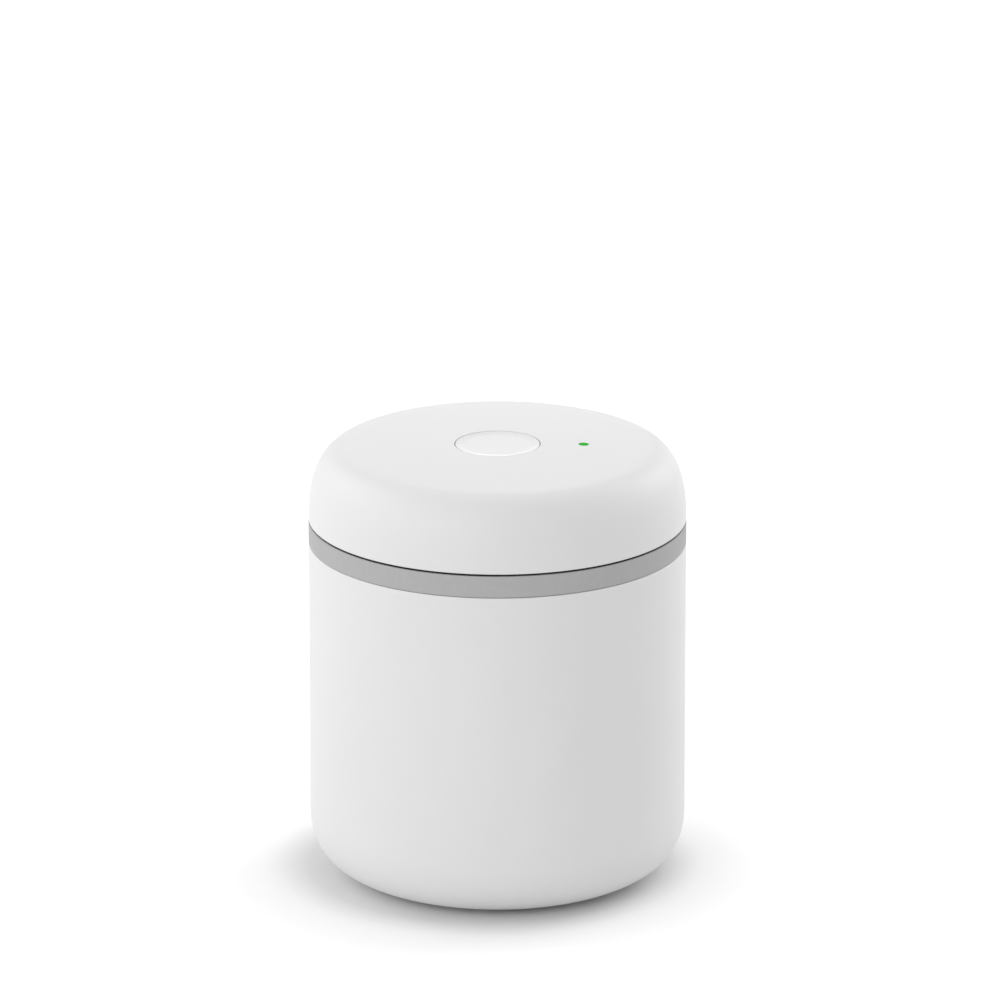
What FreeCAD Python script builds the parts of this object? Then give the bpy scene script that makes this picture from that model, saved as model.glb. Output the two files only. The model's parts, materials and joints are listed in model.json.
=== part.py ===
"""A round vacuum seal canister with an electric lid, in millimetres.

A drawn steel cup stands on a silicone foot ring. The lid lifts off it: a domed cover with a round
push button and a status light, a grey rim gasket, and a dark base that holds a diaphragm vacuum pump,
a release valve, a cell and a control board. +Z is up, the front is -Y, and the origin is the middle
of the foot ring's underside.
"""

import FreeCAD
import Part

import math
import os

Vector = FreeCAD.Vector

# Canister: a drawn steel cup with a raised base panel and a hemmed rim
BODY_RADIUS = 55.0
BODY_HEIGHT = 100.0
BODY_WALL = 0.8
BASE_ROUND_WIDTH = 21.2
BASE_ROUND_HEIGHT = 18.6
BASE_ROUND_POWER = 2.38
BASE_PANEL_RADIUS = 29.0
BASE_PANEL_RISE = 1.0
RIM_LIP = 4.0
RIM_HEM = 3.0
RIM_EDGE_RADIUS = 0.3

# Foot ring: silicone, glued under the raised base panel
FOOT_PROUD = 0.5
FOOT_WIDTH = 8.0
FOOT_CLEARANCE = 0.4
FOOT_EDGE_RADIUS = 0.2

# Rim gasket: grey silicone band with a web under the lid's flange and a skirt in the mouth
GASKET_WEB = 3.2
GASKET_BAND_HEIGHT = 6.5
GASKET_SKIRT_DEPTH = 4.0
GASKET_SKIRT_WALL = 1.2
GASKET_MOUTH_CLEARANCE = 0.5
GASKET_BEAD_REACH = 0.7
GASKET_BEAD_HEIGHT = 1.2
GASKET_FIT = 0.1
GASKET_EDGE_RADIUS = 0.3

# Top cover: a domed shell
SHADOW_GAP = 0.6
COVER_WALL = 2.2
COVER_EDGE_RADIUS = 0.3
SHOULDER_WIDTH = 11.5
SHOULDER_HEIGHT = 20.8
SHOULDER_POWER = 2.4
CROWN = 1.4
LID_BOSS_RADIUS = 2.8
BOSS_CLEARANCE = 0.35

# Lid base: flange, spigot, a lip over the gasket band, and the plug that carries everything inside the lid
FLANGE_THICKNESS = 3.0
SPIGOT_HEIGHT = 4.5
SPIGOT_WALL = 2.0
SPIGOT_CLEARANCE = 0.35
LIP_THICKNESS = 0.3
LIP_SETBACK = 0.5
PLUG_WALL = 2.2
PLUG_EDGE_RADIUS = 3.0
FLOOR_THICKNESS = 2.2
LEDGE_WALL = 0.4
POST_RADIUS = 2.4
RIB_WIDTH = 3.0

# Fasteners: four lid screws, and small screws of several lengths
LID_SCREW_HEAD_RADIUS = 2.1
LID_SCREW_HEAD_HEIGHT = 1.7
LID_SCREW_RADIUS = 1.2
LID_SCREW_LENGTH = 8.5
LID_SCREW_COUNTERBORE = 2.0
SCREW_HEAD_RADIUS = 1.8
SCREW_HEAD_HEIGHT = 1.4
SCREW_RADIUS = 0.95
SCREW_FIT = 0.05
SCREW_CLEARANCE = 0.3
SCREW_TIP_ROOM = 0.4
SCREW_SLOT_WIDTH = 0.5
SLOT_DEPTH_SHARE = 0.5
SLOT_LENGTH_SHARE = 0.65

# Push button
BUTTON_RADIUS = 12.25
BUTTON_GAP = 0.3
BUTTON_PROUD = 0.05
BUTTON_EDGE_RADIUS = 0.6
BUTTON_TOP = 2.4
BUTTON_SKIRT_WALL = 1.4
BUTTON_FLANGE_REACH = 1.9
BUTTON_FLANGE_THICKNESS = 1.4
BUTTON_SEAT_DEPTH = 3.3
BUTTON_TRAVEL = 0.8
BUTTON_COLLAR_WALL = 1.6
BUTTON_COLLAR_DEPTH = 1.0
STEM_RADIUS = 2.0
STEM_CLEARANCE = 0.08

# Button frame: a three-armed bridge that guides the stem and seats the spring
FRAME_ROOM = 1.8
FRAME_THICKNESS = 1.5
FRAME_HUB_RADIUS = 6.5
FRAME_ARM_WIDTH = 6.0
FRAME_SCREW_CIRCLE = 20.0
FRAME_SCREW_LENGTH = 4.5
FRAME_BOSS_RADIUS = 2.6
FRAME_TO_SWITCH = 1.1
FRAME_ARMS = 3

# Button spring
SPRING_RADIUS = 4.6
SPRING_WIRE_RADIUS = 0.25
SPRING_TURNS = 4
SPRING_SEAT_GAP = 0.05

# Status light
LIGHT_OFFSET = 25.0
LIGHT_RADIUS = 1.5
LIGHT_FIT = 0.05
LIGHT_FLANGE_REACH = 0.9
LIGHT_FLANGE_THICKNESS = 1.2
LIGHT_FLANGE_DEPTH = 5.0
LIGHT_COLLAR_WALL = 0.9
LIGHT_COLLAR_DEPTH = 1.4
LED_LENGTH = 3.0
LED_WIDTH = 1.6
LED_HEIGHT = 0.9
LED_GAP = 0.3

# Control board and what is soldered to it
BOARD_RADIUS = 38.0
BOARD_THICKNESS = 1.2
BOARD_TONGUE_WIDTH = 26.0
BOARD_TONGUE_CLEARANCE = 4.0
BOARD_BOSS_RADIUS = 2.3
BOARD_SCREW_LENGTH = 5.0
BOARD_SIDE_SCREW_X = 31.5
BOARD_SIDE_SCREW_Y = 6.0
BOARD_FRONT_SCREW_Y = 27.0
BOARD_REAR_SCREW_X = 9.5
BOARD_REAR_SCREW_Y = 40.5
SWITCH_SIDE = 6.0
SWITCH_HEIGHT = 4.0
SWITCH_PLUNGER_RADIUS = 1.6
SWITCH_PLUNGER_STAND = 1.4
SWITCH_PLUNGER_ROOT = 1.0
SWITCH_PLUNGER_FIT = 0.08
CONTROLLER_SIDE = 7.0
CONTROLLER_HEIGHT = 1.0
CHARGER_SIDE = 4.0
CHARGER_HEIGHT = 0.9
COIL_SIDE = 5.0
COIL_HEIGHT = 2.4
CAPACITOR_LENGTH = 3.2
CAPACITOR_WIDTH = 1.6
CAPACITOR_HEIGHT = 1.4
CHIP_ROW_Y = 16.0
CHIP_COLUMN_X = 15.0
SENSOR_SIDE = 7.0
SENSOR_HEIGHT = 2.6
CONNECTOR_LENGTH = 6.0
CONNECTOR_WIDTH = 4.0
CONNECTOR_HEIGHT = 4.0

# Charging socket and its opening in the cover
SOCKET_WIDTH = 8.94
SOCKET_HEIGHT = 3.2
SOCKET_DEPTH = 7.35
SOCKET_SHELL = 0.3
SOCKET_WALL_GAP = 0.5
SOCKET_BACK = 1.2
TONGUE_WIDTH = 6.7
TONGUE_THICKNESS = 0.7
TONGUE_SETBACK = 0.8
PORT_CLEARANCE = 0.35
PORT_POCKET_WIDTH = 13.0
PORT_POCKET_HEIGHT = 7.0
PORT_LAND = 0.9

# Vacuum pump: a small motor drives three rubber cups through a tilted pin
PUMP_RADIUS = 12.0
PUMP_BOARD_CLEARANCE = 1.2
PUMP_FLOOR_CLEARANCE = 0.4
PUMP_WALL_CLEARANCE = 1.0
PUMP_REACH = 25.0
MOTOR_RADIUS = 10.2
MOTOR_LENGTH = 24.0
MOTOR_WALL = 0.8
MOTOR_CAP_THICKNESS = 2.0
MOTOR_CAP_FIT = 0.05
BUSH_RADIUS = 3.0
BUSH_LENGTH = 2.4
BUSH_PROUD = 1.0
SHAFT_RADIUS = 1.0
SHAFT_CLEARANCE = 0.03
SHAFT_END_STUB = 0.5
MAGNET_GAP = 0.5
MAGNET_THICKNESS = 1.9
MAGNET_LENGTH = 15.0
MAGNET_ANGLE = 110.0
MAGNET_FIT = 0.05
ARMATURE_LENGTH = 11.0
ARMATURE_HUB_RADIUS = 2.3
POLE_NECK_WIDTH = 2.4
POLE_SHOE_THICKNESS = 1.2
POLE_SHOE_ANGLE = 96.0
POLES = 3
WINDING_WIDTH = 5.6
WINDING_OVERHANG = 1.0
WINDING_FIT = 0.05
COMMUTATOR_RADIUS = 2.0
COMMUTATOR_LENGTH = 2.6
TERMINAL_WIDTH = 2.2
TERMINAL_THICKNESS = 0.5
TERMINAL_LENGTH = 3.0
TERMINAL_SIDE = 5.5
TERMINAL_SPREAD = 4.0
CASE_FLOOR = 1.6
CASE_LENGTH = 16.0
CASE_WALL = 1.4
CASE_BOSS_RADIUS = 1.9
MOTOR_SCREW_CIRCLE = 5.6
MOTOR_SCREW_LENGTH = 3.0
MOTOR_SCREW_HEAD_DEPTH = 1.0
MOTOR_SCREWS = 2
ECCENTRIC_RADIUS = 4.6
ECCENTRIC_LENGTH = 6.0
ECCENTRIC_FLOOR_GAP = 0.5
SHAFT_GRIP = 3.4
PIN_RADIUS = 0.75
PIN_GRIP = 2.2
PIN_TILT = 7.0
PIN_FIT = 0.02
PIN_CLEARANCE = 0.06
PIN_END_ROOM = 0.3
SWING_HUB_RADIUS = 2.2
SWING_HUB_GAP = 0.6
SWING_ARM_DEPTH = 2.6
SWING_ARM_THICKNESS = 1.6
SWING_ARM_WIDTH = 4.4
CUPS = 3
CUP_CIRCLE = 6.2
CUP_MOUTH_RADIUS = 3.1
CUP_WALL = 0.6
CUP_FOOT_RADIUS = 1.7
CUP_SEAT_GAP = 0.1
NUB_RADIUS = 0.8
NUB_CLEARANCE = 0.1
NUB_PROUD = 0.6
DIAPHRAGM_THICKNESS = 0.8
VALVE_PLATE_THICKNESS = 2.0
VALVE_HOLE_RADIUS = 0.45
VALVE_HOLE_SPREAD = 0.9
INLET_CIRCLE = 6.9
INLET_FLAP_RADIUS = 1.35
FLAP_THICKNESS = 0.4
FLAP_STEM_RADIUS = 0.35
FLAP_FIT = 0.05
OUTLET_CIRCLE = 4.3
OUTLET_FLAP_RADIUS = 4.85
OUTLET_RING_RADIUS = 5.0
OUTLET_RING_WALL = 0.6
HEAD_LENGTH = 5.2
HEAD_WALL = 1.5
HEAD_SCREW_CIRCLE = 9.2
HEAD_SCREW_BITE = 5.0

# Nozzles and tubes
NOZZLE_RADIUS = 1.75
NOZZLE_RIDGE = 0.1
NOZZLE_BORE = 0.9
NOZZLE_LENGTH = 4.0
NOZZLE_RIDGE_LENGTH = 1.2
TUBE_FIT = 0.05
TUBE_WALL = 1.0
TUBE_END_GAP = 0.3
SUCTION_BEND_RADIUS = 6.5

# Rubber boot, strap and posts that hold the motor
BOOT_WALL = 1.4
BOOT_LENGTH = 14.0
BOOT_START = 8.0
BOOT_FIT = 0.05
STRAP_THICKNESS = 0.6
STRAP_WIDTH = 8.0
STRAP_EAR = 5.0
STRAP_FIT = 0.1
STRAP_WALL_CLEARANCE = 0.5
STRAP_SCREW_LENGTH = 6.0

# Cell, its strap and its cradle
CELL_RADIUS = 7.1
CELL_LENGTH = 49.0
CELL_FLOOR_CLEARANCE = 0.6
CELL_WALL_CLEARANCE = 1.4
CELL_NUB_RADIUS = 2.8
CELL_NUB_HEIGHT = 0.8
CELL_EDGE_RADIUS = 0.6
CELL_STRAP_X = 12.0
CELL_RIB_X = 20.0

# Air manifold
MANIFOLD_Y = -3.0
MANIFOLD_RADIUS = 4.2
MANIFOLD_BORE = 1.5
MANIFOLD_CAP = 3.4
MANIFOLD_FLANGE_THICKNESS = 2.0
MANIFOLD_EAR_RADIUS = 2.4
MANIFOLD_SCREW_SPREAD = 6.4
MANIFOLD_SCREW_LENGTH = 4.0
MANIFOLD_SPIGOT_RADIUS = 2.4
MANIFOLD_SPIGOT_LENGTH = 2.2
MANIFOLD_SPIGOT_FIT = 0.1
SEAL_RADIUS = 0.6
SEAL_FIT = 0.05

# Suction port, filter and grille in the floor
PAD_RADIUS = 13.2
PAD_HEIGHT = 3.0
FILTER_RADIUS = 11.4
FILTER_THICKNESS = 1.0
FILTER_FIT = 0.1
PLENUM_DEPTH = 0.6
PLENUM_LEDGE = 1.2
GRILLE_THICKNESS = 1.0
GRILLE_HOLE_RADIUS = 0.7
GRILLE_PITCH = 2.6
GRILLE_RINGS = 3

# Release valve: a solenoid that lifts a rubber tip off a nozzle
VALVE_HEIGHT = 8.8
VALVE_FRAME_LENGTH = 16.0
VALVE_FRAME_WIDTH = 12.0
VALVE_FRAME_PLATE = 1.2
VALVE_TAB = 5.0
VALVE_SCREW_LENGTH = 4.0
VALVE_COIL_RADIUS = 5.2
VALVE_BOBBIN_WALL = 0.7
VALVE_BOBBIN_FLANGE = 0.8
VALVE_BOBBIN_FIT = 0.05
VALVE_PLUNGER_RADIUS = 2.0
VALVE_PLUNGER_CLEARANCE = 0.1
VALVE_LIFT = 1.2
VALVE_STOP_WALL = 0.3
VALVE_SPRING_ROOM = 4.0
VALVE_SPRING_RADIUS = 1.3
VALVE_SPRING_WIRE_RADIUS = 0.15
VALVE_SPRING_TURNS = 5
VALVE_TIP_RADIUS = 1.5
VALVE_TIP_LENGTH = 1.6
VALVE_CHAMBER_LENGTH = 5.5
VALVE_CHAMBER_RADIUS = 4.8
VALVE_CHAMBER_WALL = 1.2
VALVE_SEAT_THICKNESS = 1.2
VALVE_VENT_RADIUS = 0.9
NOZZLE_TIP_GAP = 1.2

# Wires
WIRE_RADIUS = 0.6
WIRE_BEND_RADIUS = 2.8
WIRE_END_GAP = 0.05
MOTOR_WIRE_REACH = 3.0
WIRE_SPACING = 2.2
CELL_WIRE_REACH = 3.1
CELL_WIRE_SIDE = 2.9
CELL_WIRE_LIFT = 1.0

# One overrun serves all cuts, and one share finds the middle of a quarter arc on the way to its corner
OVERRUN = 1.0
ARC_MIDDLE_SHARE = math.sqrt(1 / 2)

# Heights, worked up from the table
base_z = FOOT_PROUD
panel_z = base_z + BASE_PANEL_RISE
rim_z = base_z + BODY_HEIGHT
flange_z = rim_z + GASKET_WEB
flange_top = flange_z + FLANGE_THICKNESS
band_top = rim_z + GASKET_BAND_HEIGHT
cover_z = band_top + SHADOW_GAP
spigot_top = cover_z + SPIGOT_HEIGHT
crown_z = cover_z + SHOULDER_HEIGHT + CROWN

# Heights, worked down from the crown to the lid's floor
button_seat = crown_z - BUTTON_SEAT_DEPTH
button_low = button_seat - BUTTON_FLANGE_THICKNESS
button_under = crown_z + BUTTON_PROUD - BUTTON_TOP
frame_top = button_low - BUTTON_TRAVEL - FRAME_ROOM
frame_low = frame_top - FRAME_THICKNESS
plunger_top = frame_low - FRAME_TO_SWITCH
board_top = plunger_top - SWITCH_PLUNGER_STAND - SWITCH_HEIGHT
board_low = board_top - BOARD_THICKNESS
boot_radius = MOTOR_RADIUS + BOOT_FIT + BOOT_WALL
pump_half = max(PUMP_RADIUS, boot_radius)
pump_z = board_low - PUMP_BOARD_CLEARANCE - pump_half
floor_top = pump_z - pump_half - PUMP_FLOOR_CLEARANCE
floor_low = floor_top - FLOOR_THICKNESS
pad_top = floor_top + PAD_HEIGHT

# Radii of the lid, worked in from the canister's wall
mouth_radius = BODY_RADIUS - RIM_LIP
cover_inside = BODY_RADIUS - COVER_WALL
spigot_radius = cover_inside - SPIGOT_CLEARANCE
spigot_inside = spigot_radius - SPIGOT_WALL
lid_screw_circle = spigot_inside - BOSS_CLEARANCE - LID_BOSS_RADIUS
counterbore_radius = LID_SCREW_HEAD_RADIUS + SCREW_CLEARANCE
plug_radius = lid_screw_circle - counterbore_radius - LEDGE_WALL
plug_inside = plug_radius - PLUG_WALL
LID_SCREW_ANGLES = (45, 135, 225, 315)

# Places inside the lid, tucked against the plug's wall
pump_y = math.sqrt((plug_inside - PUMP_WALL_CLEARANCE) ** 2 - PUMP_REACH**2) - pump_half
cell_end_y = math.sqrt((plug_inside - CELL_WALL_CLEARANCE) ** 2 - (CELL_LENGTH / 2) ** 2)
cell_ear_x = CELL_STRAP_X + STRAP_WIDTH / 2
cell_ear_y = math.sqrt((plug_inside - STRAP_WALL_CLEARANCE) ** 2 - cell_ear_x**2)
cell_ear_reach = CELL_RADIUS + STRAP_FIT + STRAP_THICKNESS + STRAP_EAR
cell_y = max(CELL_RADIUS - cell_end_y, cell_ear_reach - cell_ear_y)
cell_z = floor_top + CELL_FLOOR_CLEARANCE + CELL_RADIUS
valve_z = floor_top + VALVE_HEIGHT
tube_inside = NOZZLE_RADIUS + NOZZLE_RIDGE + TUBE_FIT
tube_outside = tube_inside + TUBE_WALL

# Places along the pump's own axis, counted from the motor's back
case_z = MOTOR_LENGTH
case_end = case_z + CASE_LENGTH
plate_z = case_end + DIAPHRAGM_THICKNESS
head_z = plate_z + VALVE_PLATE_THICKNESS
head_end = head_z + HEAD_LENGTH
inlet_z = head_z + (HEAD_LENGTH - HEAD_WALL) / 2
eccentric_z = case_z + CASE_FLOOR + ECCENTRIC_FLOOR_GAP
eccentric_end = eccentric_z + ECCENTRIC_LENGTH
eccentric_axis_length = case_end - eccentric_end
armature_radius = MOTOR_RADIUS - MOTOR_WALL - MAGNET_FIT - MAGNET_THICKNESS - MAGNET_GAP
armature_z = (MOTOR_LENGTH - ARMATURE_LENGTH) / 2
CUP_ANGLES = tuple(360 / CUPS * k for k in range(CUPS))
HEAD_SCREW_ANGLES = tuple(360 / CUPS * (k + 1 / 2) for k in range(CUPS))

# Places along the valve's own axis, counted from its frame's back
valve_chamber_z = VALVE_FRAME_LENGTH
valve_seat_z = valve_chamber_z + VALVE_CHAMBER_LENGTH - VALVE_SEAT_THICKNESS
valve_nozzle_z = valve_chamber_z + VALVE_CHAMBER_LENGTH
valve_plunger_end = valve_seat_z - VALVE_TIP_LENGTH
valve_plunger_start = VALVE_FRAME_PLATE + VALVE_SPRING_ROOM
valve_x = -(MANIFOLD_RADIUS + NOZZLE_LENGTH + NOZZLE_TIP_GAP + NOZZLE_LENGTH + valve_nozzle_z)

# The pump's axis runs along +X with its own x axis to the front; the valve's axis runs along +X too
PUMP_PLACE = FreeCAD.Placement(
    FreeCAD.Matrix(0, 0, 1, -PUMP_REACH, -1, 0, 0, pump_y, 0, -1, 0, pump_z, 0, 0, 0, 1)
)
VALVE_PLACE = FreeCAD.Placement(
    FreeCAD.Matrix(0, 0, 1, valve_x, -1, 0, 0, MANIFOLD_Y, 0, -1, 0, valve_z, 0, 0, 0, 1)
)
SWING_PLACE = FreeCAD.Placement(Vector(0, 0, case_end), FreeCAD.Rotation(Vector(0, 1, 0), PIN_TILT))


# Small shapes that the pieces are built from


def upright(radius, low, high, x=0, y=0):
    """A rod along Z."""
    return Part.makeCylinder(radius, high - low, Vector(x, y, low))


def ring(outer, inner, low, high, x=0, y=0):
    """An upright tube."""
    return upright(outer, low, high, x, y).cut(upright(inner, low - OVERRUN, high + OVERRUN, x, y))


def rod(radius, start, end):
    """A rod between two points."""
    return Part.makeCylinder(radius, (end - start).Length, start, end - start)


def block(x_low, x_high, y_low, y_high, z_low, z_high):
    """A box between two corners."""
    return Part.makeBox(x_high - x_low, y_high - y_low, z_high - z_low, Vector(x_low, y_low, z_low))


def tile(length, width, low, high, x=0, y=0):
    """A box centred on a point of the plan."""
    return block(x - length / 2, x + length / 2, y - width / 2, y + width / 2, low, high)


def stadium(width, height, start, end, z):
    """A bar along Y with round ends, width across X and height across Z."""
    half = (width - height) / 2
    bar = block(-half, half, start, end, z - height / 2, z + height / 2)
    for side in (-half, half):
        bar = bar.fuse(rod(height / 2, Vector(side, start, z), Vector(side, end, z)))
    return bar.removeSplitter()


def polar(radius, degrees):
    """A point of the plan by radius and angle."""
    return radius * math.cos(math.radians(degrees)), radius * math.sin(math.radians(degrees))


def turned(shape, degrees):
    """A copy turned about the upright axis."""
    copy = shape.copy()
    copy.rotate(Vector(0, 0, 0), Vector(0, 0, 1), degrees)
    return copy


def placed(shape, placement):
    """A copy moved from its own frame into another one."""
    copy = shape.copy()
    copy.Placement = placement.multiply(copy.Placement)
    return copy


def joined(shapes):
    """One solid made of shapes that meet."""
    return shapes[0].multiFuse(shapes[1:]).removeSplitter()


def soft_square(power, steps=8):
    """Unit points of a superellipse's quarter, from its side to its top."""
    quarter = [math.pi / 2 * k / steps for k in range(steps + 1)]
    return [(max(math.cos(a), 0) ** (2 / power), max(math.sin(a), 0) ** (2 / power)) for a in quarter]


class Outline:
    """A closed outline of radius and height, turned about the upright axis."""

    def __init__(self, radius, height):
        self.start = self.here = Vector(radius, 0, height)
        self.edges = []

    def line(self, radius, height):
        there = Vector(radius, 0, height)
        self.edges.append(Part.LineSegment(self.here, there).toShape())
        self.here = there
        return self

    def round(self, radius, height, corner_radius, corner_height):
        """A quarter arc to a point, about the far side of its square corner."""
        there = Vector(radius, 0, height)
        corner = Vector(corner_radius, 0, corner_height)
        centre = self.here + there - corner
        middle = centre + (corner - centre) * ARC_MIDDLE_SHARE
        self.edges.append(Part.Arc(self.here, middle, there).toShape())
        self.here = there
        return self

    def bow(self, middle, end):
        """An arc through a middle point."""
        there = Vector(end[0], 0, end[1])
        self.edges.append(Part.Arc(self.here, Vector(middle[0], 0, middle[1]), there).toShape())
        self.here = there
        return self

    def curve(self, points, first_direction, last_direction):
        """A smooth curve through points, with the direction of travel at both ends."""
        spots = [Vector(r, 0, z) for r, z in points]
        spline = Part.BSplineCurve()
        spline.interpolate(
            Points=spots,
            InitialTangent=Vector(first_direction[0], 0, first_direction[1]),
            FinalTangent=Vector(last_direction[0], 0, last_direction[1]),
        )
        self.edges.append(spline.toShape())
        self.here = spots[-1]
        return self

    def solid(self):
        if self.here != self.start:
            self.line(self.start.x, self.start.z)
        face = Part.Face(Part.Wire(self.edges))
        return face.revolve(Vector(0, 0, 0), Vector(0, 0, 1), 360)


def screw(head_radius, head_height, shank_radius, length, head, direction):
    """A pan-head screw whose head sits at a point, with the shank along a direction."""
    slot = SLOT_LENGTH_SHARE * 2 * head_radius
    top = head_height + OVERRUN
    body = upright(head_radius, 0, head_height).fuse(upright(shank_radius, -length, 0)).removeSplitter()
    for sides in ((slot, SCREW_SLOT_WIDTH), (SCREW_SLOT_WIDTH, slot)):
        body = body.cut(tile(*sides, SLOT_DEPTH_SHARE * head_height, top))
    turn = FreeCAD.Rotation(Vector(0, 0, -1), direction)
    return placed(body, FreeCAD.Placement(head, turn))


def small_screw(length, head, direction):
    """One of the small screws."""
    return screw(SCREW_HEAD_RADIUS, SCREW_HEAD_HEIGHT, SCREW_RADIUS, length, head, direction)


def nozzle(low, high):
    """An upright hose nozzle with a ridge near its tip."""
    ridge_z = high - NOZZLE_RIDGE_LENGTH
    body = upright(NOZZLE_RADIUS, low, high)
    ridge = Part.makeCone(
        NOZZLE_RADIUS + NOZZLE_RIDGE, NOZZLE_RADIUS, NOZZLE_RIDGE_LENGTH, Vector(0, 0, ridge_z)
    )
    return body.fuse(ridge).removeSplitter()


def aimed(shape, point, direction):
    """A copy of an upright shape, moved to a point and aimed along a direction."""
    return placed(shape, FreeCAD.Placement(point, FreeCAD.Rotation(Vector(0, 0, 1), direction)))


def bent_path(points, bend_radius):
    """A wire through points, with each corner rounded."""
    edges = []
    here = points[0]
    for before, corner, after in zip(points, points[1:], points[2:]):
        inward = (before - corner).normalize()
        outward = (after - corner).normalize()
        half_turn = (math.pi - inward.getAngle(outward)) / 2
        setback = bend_radius * math.tan(half_turn)
        first = corner + inward * setback
        last = corner + outward * setback
        centre = corner + (inward + outward).normalize() * (bend_radius / math.cos(half_turn))
        middle = centre + (corner - centre).normalize() * bend_radius
        edges.append(Part.LineSegment(here, first).toShape())
        edges.append(Part.Arc(first, middle, last).toShape())
        here = last
    edges.append(Part.LineSegment(here, points[-1]).toShape())
    return Part.Wire(edges)


def bent_rod(points, radius, bend_radius):
    """A round rod along a bent path."""
    path = bent_path(points, bend_radius)
    section = Part.Wire(Part.Circle(points[0], points[1] - points[0], radius).toShape())
    made = path.makePipeShell([section], True, False)
    share = made.Volume / (math.pi * radius**2 * path.Length)
    print(f"bent rod: bend radius {bend_radius:.1f} mm, volume over section times length {share:.4f}")
    return made


def hose(points, bend_radius):
    """A silicone tube along a bent path."""
    if len(points) == 2:
        start, end = points
        return rod(tube_outside, start, end).cut(rod(tube_inside, start, end))
    outside = bent_rod(points, tube_outside, bend_radius)
    return outside.cut(bent_rod(points, tube_inside, bend_radius))


def coil_spring(radius, wire_radius, turns, low, high):
    """An upright coil spring of half turns, each a tilted arc that is level at both ends."""
    rise = (high - low - 2 * wire_radius) / turns
    start = low + wire_radius

    def spot(quarters):
        x, y = polar(radius, 90 * quarters)
        return Vector(x, y, start + rise * quarters / 4)

    halves = [Part.Arc(spot(q), spot(q + 1), spot(q + 2)).toShape() for q in range(0, 4 * turns, 2)]
    section = Part.Wire(Part.Circle(spot(0), Vector(0, 1, 0), wire_radius).toShape())
    path = Part.Wire(halves)
    points = path.discretize(Number=48 * turns)
    pairs = ((a, b) for k, a in enumerate(points) for b in points[k + 24 :])
    least = min(a.distanceToPoint(b) for a, b in pairs) - 2 * wire_radius
    print(f"spring: least gap between turns {least:.2f} mm")
    return path.makePipeShell([section], True, False)


# Canister


def canister_shell():
    """The drawn cup: base panel, soft base rounding, straight wall and a rim hemmed inwards."""
    round_centre = BODY_RADIUS - BASE_ROUND_WIDTH
    round_top = base_z + BASE_ROUND_HEIGHT
    inside = BODY_RADIUS - BODY_WALL

    def rounding(inset):
        width = BASE_ROUND_WIDTH - inset
        height = BASE_ROUND_HEIGHT - inset
        corner = soft_square(BASE_ROUND_POWER)
        return [(round_centre + width * w, round_top - height * h) for w, h in corner]

    cup = Outline(0, panel_z)
    cup.line(BASE_PANEL_RADIUS, panel_z).line(BASE_PANEL_RADIUS, base_z).line(round_centre, base_z)
    cup.curve(rounding(0)[::-1], (1, 0), (0, 1))
    cup.line(BODY_RADIUS, rim_z - RIM_EDGE_RADIUS)
    cup.round(BODY_RADIUS - RIM_EDGE_RADIUS, rim_z, BODY_RADIUS, rim_z)
    cup.line(mouth_radius, rim_z).line(mouth_radius, rim_z - RIM_HEM)
    cup.line(mouth_radius + BODY_WALL, rim_z - RIM_HEM).line(mouth_radius + BODY_WALL, rim_z - BODY_WALL)
    cup.line(inside, rim_z - BODY_WALL).line(inside, round_top)
    cup.curve(rounding(BODY_WALL), (0, -1), (-1, 0))
    cup.line(BASE_PANEL_RADIUS + BODY_WALL, base_z + BODY_WALL)
    cup.line(BASE_PANEL_RADIUS + BODY_WALL, panel_z + BODY_WALL).line(0, panel_z + BODY_WALL)
    return cup.solid()


def foot_ring():
    """The flat silicone ring that the canister stands on."""
    outer = BASE_PANEL_RADIUS - FOOT_CLEARANCE
    inner = outer - FOOT_WIDTH
    edge = FOOT_EDGE_RADIUS
    foot = Outline(inner + edge, 0).line(outer - edge, 0)
    foot.round(outer, edge, outer, 0).line(outer, panel_z).line(inner, panel_z).line(inner, edge)
    foot.round(inner + edge, 0, inner, 0)
    return foot.solid()


# Lid shells


def lid_gasket():
    """The rim gasket: outer band, web under the flange, skirt in the mouth and a bead in the plug."""
    inner = plug_radius + GASKET_FIT
    band_inside = spigot_radius + GASKET_FIT
    skirt_outside = mouth_radius - GASKET_MOUTH_CLEARANCE
    skirt_inside = skirt_outside - GASKET_SKIRT_WALL
    skirt_z = rim_z - GASKET_SKIRT_DEPTH
    bead_low = rim_z + (GASKET_WEB - GASKET_BEAD_HEIGHT) / 2
    bead_top = bead_low + GASKET_BEAD_HEIGHT
    edge = GASKET_EDGE_RADIUS
    seal = Outline(inner, rim_z).line(skirt_inside, rim_z).line(skirt_inside, skirt_z)
    seal.line(skirt_outside, skirt_z).line(skirt_outside, rim_z).line(BODY_RADIUS - edge, rim_z)
    seal.round(BODY_RADIUS, rim_z + edge, BODY_RADIUS, rim_z).line(BODY_RADIUS, band_top - edge)
    seal.round(BODY_RADIUS - edge, band_top, BODY_RADIUS, band_top).line(band_inside, band_top)
    seal.line(band_inside, flange_z).line(inner, flange_z).line(inner, bead_top)
    seal.line(inner - GASKET_BEAD_REACH, bead_top).line(inner - GASKET_BEAD_REACH, bead_low)
    seal.line(inner, bead_low)
    return seal.solid()


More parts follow.
